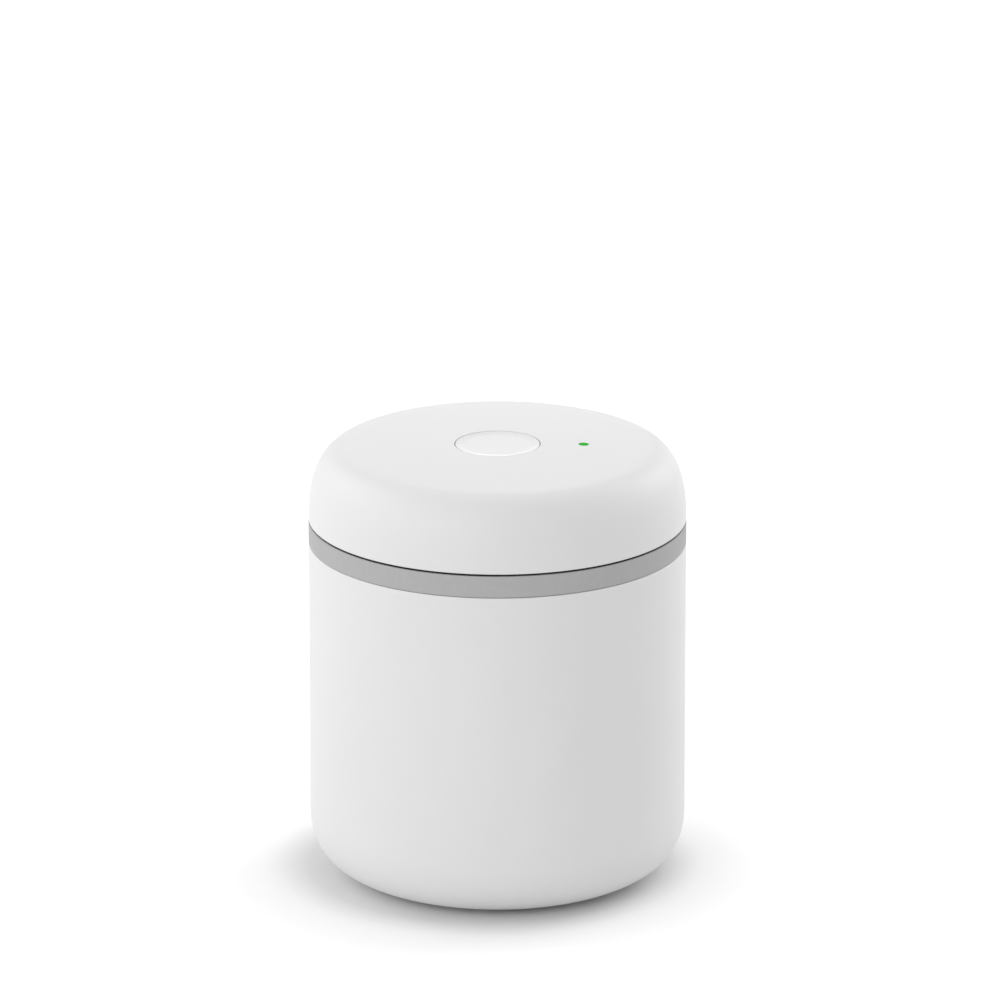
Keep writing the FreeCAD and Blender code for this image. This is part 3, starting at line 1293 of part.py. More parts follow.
def pump_head():
    """The end cover: an inlet chamber round an outlet chamber, each with a nozzle."""
    whole = upright(PUMP_RADIUS, head_z, head_end)
    roof = head_end - HEAD_WALL
    ring_outside = OUTLET_RING_RADIUS + OUTLET_RING_WALL
    inlet_room = ring(PUMP_RADIUS - HEAD_WALL, ring_outside, head_z - OVERRUN, roof)
    for x, y in head_screw_spots():
        inlet_room = inlet_room.cut(upright(CASE_BOSS_RADIUS, head_z - OVERRUN, roof + OVERRUN, x, y))
    outlet_room = upright(OUTLET_RING_RADIUS, head_z - OVERRUN, roof)
    head = whole.cut(inlet_room).cut(outlet_room)
    sunk = HEAD_WALL / 2
    inlet = aimed(nozzle(-sunk, NOZZLE_LENGTH), Vector(PUMP_RADIUS, 0, inlet_z), Vector(1, 0, 0))
    outlet = aimed(nozzle(-sunk, NOZZLE_LENGTH), Vector(0, 0, head_end), Vector(0, 0, 1))
    head = joined([head, inlet, outlet])
    cuts = [upright(NOZZLE_BORE, roof - OVERRUN, head_end + NOZZLE_LENGTH + OVERRUN)]
    bore_start = Vector(PUMP_RADIUS - HEAD_WALL - OVERRUN, 0, inlet_z)
    cuts.append(rod(NOZZLE_BORE, bore_start, Vector(PUMP_RADIUS + NOZZLE_LENGTH + OVERRUN, 0, inlet_z)))
    for x, y in head_screw_spots():
        cuts.append(upright(SCREW_RADIUS + SCREW_FIT, head_z - OVERRUN, head_end + OVERRUN, x, y))
    return head.cut(Part.makeCompound(cuts))


def pump_screws():
    """The long screws through head, plate and rubber into the case."""
    length = head_end - case_end + HEAD_SCREW_BITE
    return [small_screw(length, Vector(x, y, head_end), Vector(0, 0, -1)) for x, y in head_screw_spots()]


def pump_boot():
    """The rubber sleeve that keeps the motor's hum from the lid."""
    inner = MOTOR_RADIUS + BOOT_FIT
    return ring(inner + BOOT_WALL, inner, BOOT_START, BOOT_START + BOOT_LENGTH)


# Straps, cell and air path, in the lid's frame


def strap(y, z, radius, x):
    """A thin steel strap over something round that lies along X, with an ear on each side."""
    inner = radius + STRAP_FIT
    outer = inner + STRAP_THICKNESS
    half = STRAP_WIDTH / 2
    start, end = Vector(x - half, y, z), Vector(x + half, y, z)
    arch = rod(outer, start, end).cut(rod(inner, start, end))
    above = block(x - STRAP_WIDTH, x + STRAP_WIDTH, y - 2 * outer, y + 2 * outer, z, z + 2 * outer)
    pieces = [arch.common(above)]
    holes = []
    for side in (-1, 1):
        near, far = sorted((y + side * (inner + STRAP_THICKNESS / 2), y + side * (outer + STRAP_EAR)))
        pieces.append(block(x - half, x + half, near, far, z, z + STRAP_THICKNESS))
        hole_y = y + side * (outer + STRAP_EAR / 2)
        hole_top = z + STRAP_THICKNESS + OVERRUN
        holes.append(upright(SCREW_RADIUS + SCREW_FIT, z - OVERRUN, hole_top, x, hole_y))
    return joined(pieces).cut(Part.makeCompound(holes))


def strap_screws(y, z, radius, x):
    """The two screws of a strap."""
    reach = radius + STRAP_FIT + STRAP_THICKNESS + STRAP_EAR / 2
    top = z + STRAP_THICKNESS
    heads = [Vector(x, y + side * reach, top) for side in (-1, 1)]
    return [small_screw(STRAP_SCREW_LENGTH, head, Vector(0, 0, -1)) for head in heads]


def pump_strap_place():
    """Where the pump's strap goes over the boot."""
    return pump_y, pump_z, boot_radius, -PUMP_REACH + BOOT_START + BOOT_LENGTH / 2


def cell_strap_place():
    """Where the cell's strap goes."""
    return cell_y, cell_z, CELL_RADIUS, CELL_STRAP_X


def battery_cell():
    """The round lithium cell, with its positive nub to the right."""
    half = CELL_LENGTH / 2
    can = rod(CELL_RADIUS, Vector(-half, cell_y, cell_z), Vector(half - CELL_NUB_HEIGHT, cell_y, cell_z))
    rims = [edge for edge in can.Edges if isinstance(edge.Curve, Part.Circle)]
    can = can.makeFillet(CELL_EDGE_RADIUS, rims)
    nub = rod(CELL_NUB_RADIUS, Vector(0, cell_y, cell_z), Vector(half, cell_y, cell_z))
    return can.fuse(nub).removeSplitter()


def manifold_top():
    """Height of the manifold's upper shoulder."""
    return pump_z + MANIFOLD_CAP


def air_manifold():
    """The cross that joins pump, valve and sensor to the suction port."""
    y = MANIFOLD_Y
    flange_low = pad_top
    flange_high = flange_low + MANIFOLD_FLANGE_THICKNESS
    pieces = [upright(MANIFOLD_RADIUS, flange_low, manifold_top(), 0, y)]
    pieces.append(upright(MANIFOLD_SPIGOT_RADIUS, flange_low - MANIFOLD_SPIGOT_LENGTH, flange_high, 0, y))
    for side in (-1, 1):
        ear_y = y + side * MANIFOLD_SCREW_SPREAD
        pieces.append(upright(MANIFOLD_EAR_RADIUS, flange_low, flange_high, 0, ear_y))
        near, far = sorted((y, ear_y))
        pieces.append(block(-MANIFOLD_EAR_RADIUS, MANIFOLD_EAR_RADIUS, near, far, flange_low, flange_high))
    sunk = MANIFOLD_RADIUS / 2
    branch = nozzle(0, sunk + NOZZLE_LENGTH)
    start = MANIFOLD_RADIUS - sunk
    pieces.append(aimed(branch, Vector(start, y, pump_z), Vector(1, 0, 0)))
    pieces.append(aimed(branch, Vector(-start, y, valve_z), Vector(-1, 0, 0)))
    upper = nozzle(-sunk, NOZZLE_LENGTH - NOZZLE_TIP_GAP)
    pieces.append(aimed(upper, Vector(0, y, manifold_top()), Vector(0, 0, 1)))
    reach = MANIFOLD_RADIUS + NOZZLE_LENGTH + OVERRUN
    low = flange_low - MANIFOLD_SPIGOT_LENGTH - OVERRUN
    cuts = [upright(MANIFOLD_BORE, low, pump_z + NOZZLE_BORE, 0, y)]
    cuts.append(upright(NOZZLE_BORE, pump_z, manifold_top() + NOZZLE_LENGTH, 0, y))
    cuts.append(rod(NOZZLE_BORE, Vector(0, y, pump_z), Vector(reach, y, pump_z)))
    cuts.append(rod(NOZZLE_BORE, Vector(0, y, valve_z), Vector(-reach, y, valve_z)))
    for side in (-1, 1):
        ear_y = y + side * MANIFOLD_SCREW_SPREAD
        ear_top = flange_high + OVERRUN
        cuts.append(upright(SCREW_RADIUS + SCREW_FIT, flange_low - OVERRUN, ear_top, 0, ear_y))
    return joined(pieces).cut(Part.makeCompound(cuts))


def manifold_screws():
    """The two screws of the manifold."""
    top = pad_top + MANIFOLD_FLANGE_THICKNESS
    heads = [Vector(0, MANIFOLD_Y + side * MANIFOLD_SCREW_SPREAD, top) for side in (-1, 1)]
    return [small_screw(MANIFOLD_SCREW_LENGTH, head, Vector(0, 0, -1)) for head in heads]


def manifold_seal():
    """The O-ring round the manifold's spigot."""
    radius = MANIFOLD_SPIGOT_RADIUS + MANIFOLD_SPIGOT_FIT + SEAL_RADIUS
    return Part.makeTorus(radius, SEAL_RADIUS, Vector(0, MANIFOLD_Y, pad_top - SEAL_RADIUS))


def suction_tube():
    """The tube from the manifold to the pump's inlet."""
    inlet_x = inlet_z - PUMP_REACH
    start = Vector(MANIFOLD_RADIUS + TUBE_END_GAP, MANIFOLD_Y, pump_z)
    corner = Vector(inlet_x, MANIFOLD_Y, pump_z)
    end = Vector(inlet_x, pump_y - PUMP_RADIUS - TUBE_END_GAP, pump_z)
    straight = min(end.y - corner.y, corner.x - start.x) - NOZZLE_LENGTH
    return hose([start, corner, end], min(SUCTION_BEND_RADIUS, straight))


def release_tube():
    """The tube from the manifold to the release valve."""
    start = Vector(valve_x + valve_nozzle_z + TUBE_END_GAP, MANIFOLD_Y, valve_z)
    return hose([start, Vector(-MANIFOLD_RADIUS - TUBE_END_GAP, MANIFOLD_Y, valve_z)], 0)


def sensor_tube():
    """The tube from the manifold to the pressure sensor."""
    low = Vector(0, MANIFOLD_Y, manifold_top() + TUBE_END_GAP)
    return hose([low, Vector(0, MANIFOLD_Y, board_low - SENSOR_HEIGHT - TUBE_END_GAP)], 0)


def suction_filter():
    """The felt disc over the suction port."""
    low = floor_low + GRILLE_THICKNESS
    return upright(FILTER_RADIUS, low, low + FILTER_THICKNESS)


def filter_grille():
    """The holed disc that keeps the filter in the lid's floor."""
    disc = upright(FILTER_RADIUS, floor_low, floor_low + GRILLE_THICKNESS)
    spots = [(0, 0)]
    for k in range(1, GRILLE_RINGS + 1):
        spots += [polar(k * GRILLE_PITCH, 360 / (6 * k) * step) for step in range(6 * k)]
    low, high = floor_low - OVERRUN, floor_low + GRILLE_THICKNESS + OVERRUN
    return disc.cut(Part.makeCompound([upright(GRILLE_HOLE_RADIUS, low, high, x, y) for x, y in spots]))


# Release valve, in its own frame along Z from its frame's back


def valve_frame():
    """The bent steel frame round the valve's coil, with a screw tab and a stop for the slug."""
    half = VALVE_FRAME_WIDTH / 2
    plate = VALVE_FRAME_PLATE
    end = VALVE_FRAME_LENGTH
    sides = half - plate
    pieces = [block(-sides, sides, half - plate, half, -VALVE_TAB, end)]
    pieces.append(block(-sides, sides, -half, half, 0, plate))
    pieces.append(block(-sides, sides, -half, half, end - plate, end))
    stop = plate + VALVE_SPRING_ROOM - VALVE_LIFT
    pieces.append(ring(VALVE_PLUNGER_RADIUS, VALVE_PLUNGER_RADIUS - VALVE_STOP_WALL, plate, stop))
    hole = VALVE_PLUNGER_RADIUS + VALVE_BOBBIN_WALL
    cuts = [upright(hole, end - plate - OVERRUN, end + OVERRUN)]
    tab_z = -VALVE_TAB / 2
    cuts.append(rod(SCREW_RADIUS + SCREW_FIT, Vector(0, 0, tab_z), Vector(0, half + OVERRUN, tab_z)))
    return joined(pieces).cut(Part.makeCompound(cuts))


def valve_screw():
    """The screw through the valve's tab."""
    ledge_z = valve_z - VALVE_FRAME_WIDTH / 2
    head = Vector(valve_x - VALVE_TAB / 2, MANIFOLD_Y, ledge_z + VALVE_FRAME_PLATE)
    return small_screw(VALVE_SCREW_LENGTH, head, Vector(0, 0, -1))


def base_screws():
    """All screws that go down into the lid's base."""
    straps = strap_screws(*pump_strap_place()) + strap_screws(*cell_strap_place())
    return [*straps, *manifold_screws(), valve_screw()]


def bobbin_sizes():
    """Bore and core radius of the valve's bobbin, and the ends of its space."""
    bore = VALVE_PLUNGER_RADIUS + VALVE_PLUNGER_CLEARANCE
    low = VALVE_FRAME_PLATE
    return bore, bore + VALVE_BOBBIN_WALL, low, VALVE_FRAME_LENGTH - VALVE_FRAME_PLATE


def valve_bobbin():
    """The plastic spool of the valve's coil."""
    bore, core, low, high = bobbin_sizes()
    flange = VALVE_BOBBIN_FLANGE
    rim = VALVE_FRAME_WIDTH / 2 - VALVE_FRAME_PLATE - VALVE_BOBBIN_FIT
    pieces = [upright(core, low, high), upright(rim, low, low + flange), upright(rim, high - flange, high)]
    return joined(pieces).cut(upright(bore, low - OVERRUN, high + OVERRUN))


def valve_coil():
    """The copper coil on the bobbin."""
    _, core, low, high = bobbin_sizes()
    outer = VALVE_FRAME_WIDTH / 2 - VALVE_FRAME_PLATE - 2 * VALVE_BOBBIN_FIT
    radius = min(VALVE_COIL_RADIUS, outer)
    return ring(radius, core + VALVE_BOBBIN_FIT, low + VALVE_BOBBIN_FLANGE, high - VALVE_BOBBIN_FLANGE)


def valve_plunger():
    """The steel slug that the coil pulls back."""
    return upright(VALVE_PLUNGER_RADIUS, valve_plunger_start, valve_plunger_end)


def valve_tip():
    """The rubber tip that closes the nozzle."""
    return upright(VALVE_TIP_RADIUS, valve_plunger_end, valve_seat_z)


def valve_spring():
    """The spring that pushes the slug against the nozzle."""
    low = VALVE_FRAME_PLATE + SPRING_SEAT_GAP
    high = valve_plunger_start - SPRING_SEAT_GAP
    return coil_spring(VALVE_SPRING_RADIUS, VALVE_SPRING_WIRE_RADIUS, VALVE_SPRING_TURNS, low, high)


def valve_nozzle():
    """The vented chamber in front of the coil, with the seat and the hose nozzle."""
    inner = VALVE_CHAMBER_RADIUS - VALVE_CHAMBER_WALL
    body = upright(VALVE_CHAMBER_RADIUS, valve_chamber_z, valve_nozzle_z)
    body = body.cut(upright(inner, valve_chamber_z - OVERRUN, valve_seat_z))
    tip = nozzle(valve_seat_z, valve_nozzle_z + NOZZLE_LENGTH)
    body = joined([body, tip])
    vent_z = (valve_chamber_z + valve_seat_z) / 2
    reach = VALVE_CHAMBER_RADIUS + OVERRUN
    cuts = [upright(NOZZLE_BORE, valve_seat_z - OVERRUN, valve_nozzle_z + NOZZLE_LENGTH + OVERRUN)]
    cuts.append(rod(VALVE_VENT_RADIUS, Vector(-reach, 0, vent_z), Vector(reach, 0, vent_z)))
    return body.cut(Part.makeCompound(cuts))


# Wires and their plugs, in the lid's frame


def wire_top():
    """Height where the wires meet their plugs under the board."""
    return board_low - CONNECTOR_HEIGHT - WIRE_END_GAP


def motor_wire_ends():
    """Where each motor wire starts, and how far behind the motor it turns up."""
    ends = []
    for k, (x, y) in enumerate(terminal_spots()):
        start = PUMP_PLACE.multVec(Vector(x, y, -TERMINAL_LENGTH - WIRE_END_GAP))
        ends.append((start, start.x - MOTOR_WIRE_REACH - k * WIRE_SPACING))
    return ends


def motor_wires():
    """The motor's two wires, back from its tabs and up to the board."""
    wires = []
    for start, x in motor_wire_ends():
        route = [start, Vector(x, start.y, start.z), Vector(x, start.y, wire_top())]
        wires.append(bent_rod(route, WIRE_RADIUS, WIRE_BEND_RADIUS))
    return wires


def valve_wire_spots():
    """Plan of the valve's wires, over the back flange of its bobbin."""
    x = valve_x + VALVE_FRAME_PLATE + VALVE_BOBBIN_FLANGE
    return [(x, MANIFOLD_Y + side * WIRE_SPACING / 2) for side in (-1, 1)]


def valve_wires():
    """The valve's two wires, straight up to the board."""
    rim = VALVE_FRAME_WIDTH / 2 - VALVE_FRAME_PLATE - VALVE_BOBBIN_FIT
    low = valve_z + rim + WIRE_END_GAP
    return [upright(WIRE_RADIUS, low, wire_top(), x, y) for x, y in valve_wire_spots()]


def cell_wire_x():
    """Where the cell's two wires turn up to the board, behind its negative end."""
    outer = -CELL_LENGTH / 2 - CELL_WIRE_REACH
    return outer, outer + WIRE_SPACING


def cell_wires():
    """The cell's wires: one up from its negative end, one back over its top from the nub."""
    outer, inner = cell_wire_x()
    half = CELL_LENGTH / 2
    y = cell_y + CELL_WIRE_SIDE
    over = cell_z + CELL_RADIUS + STRAP_FIT + STRAP_THICKNESS + WIRE_RADIUS + CELL_WIRE_LIFT
    top = wire_top()
    negative = [Vector(-half - WIRE_END_GAP, y, cell_z), Vector(outer, y, cell_z), Vector(outer, y, top)]
    reach = half + CELL_WIRE_REACH
    nub_y = cell_y + CELL_NUB_RADIUS - WIRE_RADIUS
    positive = [
        Vector(half + WIRE_END_GAP, nub_y, cell_z),
        Vector(reach, nub_y, cell_z),
        Vector(reach, y, over),
        Vector(inner, y, over),
        Vector(inner, y, top),
    ]
    return [bent_rod(route, WIRE_RADIUS, WIRE_BEND_RADIUS) for route in (negative, positive)]


def wire_plugs():
    """The plugs under the board that the three pairs of wires end in."""
    motor = motor_wire_ends()
    motor_x = sum(x for _, x in motor) / 2
    cell_x = sum(cell_wire_x()) / 2
    valve_spot = valve_wire_spots()[0][0]
    low = board_low - CONNECTOR_HEIGHT
    return [
        tile(CONNECTOR_LENGTH, CONNECTOR_WIDTH, low, board_low, motor_x, motor[0][0].y),
        tile(CONNECTOR_LENGTH, CONNECTOR_WIDTH, low, board_low, cell_x, cell_y + CELL_WIRE_SIDE),
        tile(CONNECTOR_WIDTH, CONNECTOR_LENGTH, low, board_low, valve_spot, MANIFOLD_Y),
    ]


PUMP_PIECES = {
    "motor_can": motor_can,
    "motor_end_cap": motor_end_cap,
    "motor_bushes": motor_bushes,
    "motor_magnets": motor_magnets,
    "motor_terminals": motor_terminals,
    "motor_shaft": motor_shaft,
    "armature_core": armature_core,
    "armature_windings": armature_windings,
    "commutator": commutator,
    "eccentric": eccentric,
    "drive_pin": drive_pin,
    "swing_frame": swing_frame,
    "crank_case": crank_case,
    "diaphragm": diaphragm,
    "valve_plate": valve_plate,
    "pump_flaps": lambda: [*inlet_flaps(), outlet_flap()],
    "pump_head": pump_head,
    "pump_screws": lambda: pump_screws() + sunk_screws(0),
    "pump_boot": pump_boot,
}

VALVE_PIECES = {
    "valve_frame": valve_frame,
    "valve_bobbin": valve_bobbin,
    "valve_coil": valve_coil,
    "valve_plunger": valve_plunger,
    "valve_tip": valve_tip,
    "valve_spring": valve_spring,
    "valve_nozzle": valve_nozzle,
}

LID_PIECES = {
    "canister_shell": canister_shell,
    "foot_ring": foot_ring,
    "lid_gasket": lid_gasket,
    "top_cover": top_cover,
    "lid_base": lid_base,
    "lid_screws": lid_screws,
    "button_cap": button_cap,
    "button_spring": button_spring,
    "button_frame": button_frame,
    "light_pipe": light_pipe,
    "control_board": control_board,
    "cover_screws": lambda: frame_screws() + board_screws(),
    "board_chips": board_chips,
    "tact_switch": tact_switch,
    "switch_plunger": switch_plunger,
    "status_led": status_led,
    "pressure_sensor": pressure_sensor,
    "usb_socket": usb_socket,
    "usb_tongue": usb_tongue,
    "pump_strap": lambda: strap(*pump_strap_place()),
    "cell_strap": lambda: strap(*cell_strap_place()),
    "base_screws": base_screws,
    "battery_cell": battery_cell,
    "air_manifold": air_manifold,
    "manifold_seal": manifold_seal,
    "air_tubes": lambda: [suction_tube(), release_tube(), sensor_tube()],
    "suction_filter": suction_filter,
    "filter_grille": filter_grille,
    "motor_wires": motor_wires,
    "valve_wires": valve_wires,
    "cell_wires": cell_wires,
    "wire_plugs": wire_plugs,
}


def write(name, made, placement):
    """Writes a piece, or a group of alike pieces, in the canister's frame."""
    solids = made if isinstance(made, list) else [made]
    solids = [placed(solid, placement) for shape in solids for solid in shape.Solids]
    shape = solids[0] if len(solids) == 1 else Part.makeCompound(solids)
    if not shape.isValid():
        print(f"{name}: the shape is not valid")
    shape.exportStep(os.path.join("parts", f"{name}.step"))


os.makedirs("parts", exist_ok=True)
for pieces, placement in (
    (LID_PIECES, FreeCAD.Placement()),
    (PUMP_PIECES, PUMP_PLACE),
    (VALVE_PIECES, VALVE_PLACE),
):
    for name, make in pieces.items():
        write(name, make(), placement)
print(f"height {crown_z + BUTTON_PROUD:.2f}, pump axis at y {pump_y:.2f} z {pump_z:.2f}")
print(f"lid floor at z {floor_low:.2f}, rim at {rim_z:.2f}, board at {board_top:.2f}")
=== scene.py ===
# %% [markdown]
# A vacuum seal canister in a white studio.
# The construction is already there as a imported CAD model, so this lesson only dresses it.
# The canister, its foot, the gasket and the button are turned again as clean meshes, every surface gets
# the finish of its real material, and at the end come the floor, the light and the camera.
# The frame is loaded first, and its box is kept, because the dressed part must not grow out of it.

# %% Load the frame
import json
import math

import bpy
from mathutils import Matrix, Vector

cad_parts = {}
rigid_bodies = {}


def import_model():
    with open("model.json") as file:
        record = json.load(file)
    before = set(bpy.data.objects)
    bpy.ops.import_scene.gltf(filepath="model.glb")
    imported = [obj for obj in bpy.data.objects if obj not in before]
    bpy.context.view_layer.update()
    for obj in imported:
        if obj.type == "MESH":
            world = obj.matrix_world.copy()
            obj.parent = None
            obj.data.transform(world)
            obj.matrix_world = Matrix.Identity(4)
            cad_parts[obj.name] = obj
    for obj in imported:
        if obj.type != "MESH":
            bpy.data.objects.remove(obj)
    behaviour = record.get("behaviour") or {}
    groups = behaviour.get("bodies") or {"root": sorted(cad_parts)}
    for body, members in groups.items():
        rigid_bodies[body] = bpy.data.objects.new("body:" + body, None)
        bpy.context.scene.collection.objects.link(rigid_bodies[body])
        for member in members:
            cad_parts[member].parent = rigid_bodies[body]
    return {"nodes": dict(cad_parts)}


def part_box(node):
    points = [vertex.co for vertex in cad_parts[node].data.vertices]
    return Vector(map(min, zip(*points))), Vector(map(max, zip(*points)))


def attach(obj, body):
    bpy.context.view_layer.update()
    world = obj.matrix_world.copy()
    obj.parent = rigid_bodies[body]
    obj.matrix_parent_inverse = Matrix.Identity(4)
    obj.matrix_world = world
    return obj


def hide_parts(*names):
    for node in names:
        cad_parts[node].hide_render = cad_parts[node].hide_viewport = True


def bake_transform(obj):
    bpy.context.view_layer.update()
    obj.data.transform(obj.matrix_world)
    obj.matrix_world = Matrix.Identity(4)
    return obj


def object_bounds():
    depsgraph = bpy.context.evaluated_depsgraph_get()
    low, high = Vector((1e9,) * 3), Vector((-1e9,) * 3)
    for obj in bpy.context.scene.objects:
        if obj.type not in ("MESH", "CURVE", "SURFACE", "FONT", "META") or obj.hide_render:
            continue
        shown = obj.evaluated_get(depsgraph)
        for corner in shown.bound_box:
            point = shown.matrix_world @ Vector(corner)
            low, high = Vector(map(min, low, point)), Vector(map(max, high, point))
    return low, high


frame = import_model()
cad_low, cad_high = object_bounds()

MM = 0.001
print("CAD nodes:", len(frame["nodes"]), "box in mm:", [round(side / MM, 2) for side in cad_high - cad_low])

# %% [markdown]
# Every shell of this object is round, as it would come from a lathe, a drawing press or a round mould.
# Such a body could be built from stacked rings, but a maker thinks of it as one outline that is turned.
# So an outline is a list of points (radius, height) in millimetres, and a corner is a stretch of it:
# power 2 gives a part of a circle or ellipse, and a higher power gives the fuller rounding of a soft box.

# %% Points of an outline
def corner(centre, width, height, start, end, power=2.0, steps=8):
    """Points round a centre, from one angle to another in degrees."""
    points = []
    for step in range(steps + 1):
        angle = math.radians(start + (end - start) * step / steps)
        out, up = math.cos(angle), math.sin(angle)
        radius = centre[0] + width * math.copysign(abs(out) ** (2 / power), out)
        level = centre[1] + height * math.copysign(abs(up) ** (2 / power), up)
        points.append((radius, level))
    return points


def straight(start, end, steps):
    """Points evenly along a straight run, with both ends."""
    shares = [step / steps for step in range(steps + 1)]
    return [tuple(a + (b - a) * share for a, b in zip(start, end)) for share in shares]


def box_in_mm(node):
    """Lowest and highest corner of a CAD node."""
    return [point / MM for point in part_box(node)]


print("a quarter round of 1 mm has", len(corner((0, 0), 1, 1, 0, 90)), "points")

# %% [markdown]
# The outline is drawn as by hand: a small plane is merged to one vertex, the vertex is extruded from
# point to point, and the line is spun once round the Z axis. Spinning leaves double points at the seam
# and on the axis, so they are merged, and the normals are then recalculated to face outwards.
# A tiny round beside a long wall would bend the shading of the wall. Weighted normals prevent that,
# because the large faces then decide.

# %% Turn an outline
TURN_STEPS = 256
WELD = 0.001 * MM
CREASE = math.radians(35)


def turn_outline(name, outline):
    """A round body from its outline, at the origin, with its place in its mesh."""
    bpy.ops.object.select_all(action="DESELECT")
    bpy.ops.mesh.primitive_plane_add(size=MM)
    body = bpy.context.object
    body.name = body.data.name = name
    bpy.ops.object.mode_set(mode="EDIT")
    bpy.ops.mesh.merge(type="CENTER")
    bpy.ops.transform.translate(value=(outline[0][0] * MM, 0, outline[0][1] * MM))
    for here, there in zip(outline, outline[1:]):
        step = ((there[0] - here[0]) * MM, 0, (there[1] - here[1]) * MM)
        bpy.ops.mesh.extrude_vertices_move(TRANSFORM_OT_translate={"value": step})
    bpy.ops.mesh.select_all(action="SELECT")
    bpy.ops.mesh.spin(steps=TURN_STEPS, angle=2 * math.pi, center=(0, 0, 0), axis=(0, 0, 1))
    bpy.ops.mesh.select_all(action="SELECT")
    bpy.ops.mesh.remove_doubles(threshold=WELD)
    bpy.ops.mesh.normals_make_consistent(inside=False)
    bpy.ops.object.mode_set(mode="OBJECT")
    bpy.ops.object.shade_smooth_by_angle(angle=CREASE)
    bpy.ops.object.modifier_add(type="WEIGHTED_NORMAL")
    body.modifiers[-1].keep_sharp = True
    bpy.ops.object.modifier_apply(modifier=body.modifiers[-1].name)
    print(name, "has", len(body.data.polygons), "faces")
    return body


# %% [markdown]
# The canister is a cup drawn from steel sheet. Its base panel is pressed up, so that the cup stands on
# the foot ring under it, the base rounding is soft and wide, and the rim is folded in and hemmed back.
# Beside the CAD solid, the folds get the small rounds that bent sheet has.

# %% Canister
SHEET = 0.8
BASE_ROUND_WIDTH = 21.2
BASE_ROUND_HEIGHT = 18.6
BASE_ROUND_POWER = 2.38
BASE_ROUND_STEPS = 48
PANEL_RADIUS = 29.0
PANEL_RISE = 1.0
RIM_LIP = 4.0
RIM_HEM = 3.0
FOLD = 0.3
WALL_RINGS = 10

cup_low, cup_high = box_in_mm("canister_shell")
cup_radius = cup_high.x
cup_inside = cup_radius - SHEET
mouth_radius = cup_radius - RIM_LIP
panel_z = cup_low.z + PANEL_RISE
round_centre = (cup_radius - BASE_ROUND_WIDTH, cup_low.z + BASE_ROUND_HEIGHT)

cup = [(0, panel_z)]
cup += corner((PANEL_RADIUS - FOLD, panel_z - FOLD), FOLD, FOLD, 90, 0)
cup += corner((PANEL_RADIUS + FOLD, cup_low.z + FOLD), FOLD, FOLD, 180, 270)
cup += corner(round_centre, BASE_ROUND_WIDTH, BASE_ROUND_HEIGHT, -90, 0, BASE_ROUND_POWER, BASE_ROUND_STEPS)
cup += straight((cup_radius, round_centre[1]), (cup_radius, cup_high.z - FOLD), WALL_RINGS)[1:-1]
cup += corner((cup_radius - FOLD, cup_high.z - FOLD), FOLD, FOLD, 0, 90)
cup += corner((mouth_radius + FOLD, cup_high.z - FOLD), FOLD, FOLD, 90, 180)
cup += corner((mouth_radius + SHEET / 2, cup_high.z - RIM_HEM + SHEET / 2), SHEET / 2, SHEET / 2, 180, 360)
cup += corner((mouth_radius + SHEET + FOLD, cup_high.z - SHEET - FOLD), FOLD, FOLD, 180, 90)
cup += corner((cup_inside - SHEET, cup_high.z - 2 * SHEET), SHEET, SHEET, 90, 0)
cup += straight((cup_inside, cup_high.z - 2 * SHEET), (cup_inside, round_centre[1]), WALL_RINGS)[1:-1]
inner_round = (BASE_ROUND_WIDTH - SHEET, BASE_ROUND_HEIGHT - SHEET)
cup += corner(round_centre, *inner_round, 0, -90, BASE_ROUND_POWER, BASE_ROUND_STEPS)
step_radius = PANEL_RADIUS + SHEET
cup += corner((step_radius + FOLD, cup_low.z + SHEET + FOLD), FOLD, FOLD, 270, 180)
cup += corner((step_radius - FOLD, panel_z + SHEET - FOLD), FOLD, FOLD, 0, 90)
cup.append((0, panel_z + SHEET))

canister = turn_outline("canister", cup)
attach(canister, "canister")
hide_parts("canister_shell")

# %% [markdown]
# The foot ring is moulded in silicone and glued under the base panel. Two shallow grooves in its sole
# let it grip a smooth worktop, as on most kitchenware.

# %% Foot ring
FOOT_EDGE = 0.2
GROOVE_WIDTH = 0.9
GROOVE_DEPTH = 0.25
GROOVE_PLACES = (1 / 3, 2 / 3)
FOOT_WIDTH = 8.0
FOOT_GAP = 0.4

foot_outer = PANEL_RADIUS - FOOT_GAP
foot_inner = foot_outer - FOOT_WIDTH
sole = corner((foot_inner + FOOT_EDGE, FOOT_EDGE), FOOT_EDGE, FOOT_EDGE, 180, 270)
for share in GROOVE_PLACES:
    groove = foot_inner + FOOT_WIDTH * share
    sole += corner((groove, 0), GROOVE_WIDTH / 2, GROOVE_DEPTH, 180, 0)
sole += corner((foot_outer - FOOT_EDGE, FOOT_EDGE), FOOT_EDGE, FOOT_EDGE, 270, 360)
sole += [(foot_outer, panel_z), (foot_inner, panel_z), sole[0]]

foot = turn_outline("grooved_foot", sole)
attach(foot, "canister")
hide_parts("foot_ring")

# %% [markdown]
# The grey band between canister and cover is the outside of the lid's gasket, one silicone moulding:
# the band, a web under the lid's flange, a skirt that centres the lid in the mouth, and a small bead
# that snaps into the plug's groove. Two thin wiping ribs round the skirt and the softened edges are
# what the plain solid leaves out. The web carries the lid, so the band outside it is moulded a hair
# shorter and stays off the rim, which gives the fine dark line under the band.

# %% Gasket
BAND_EDGE = 0.15
BAND_RELIEF = 0.2
RELIEF_WIDTH = 1.5
SKIRT_EDGE = 0.25
SKIRT_GAP = 0.5
SKIRT_WALL = 1.2
SKIRT_DEPTH = 4.0
RIB_REACH = 0.25
RIB_HEIGHT = 0.7
RIB_PLACES = (1 / 3, 2 / 3)
BEAD_REACH = 0.7
BEAD_HEIGHT = 1.2
WEB = 3.2
PLUG_RADIUS = 44.5
SPIGOT_RADIUS = 52.45
GASKET_FIT = 0.1

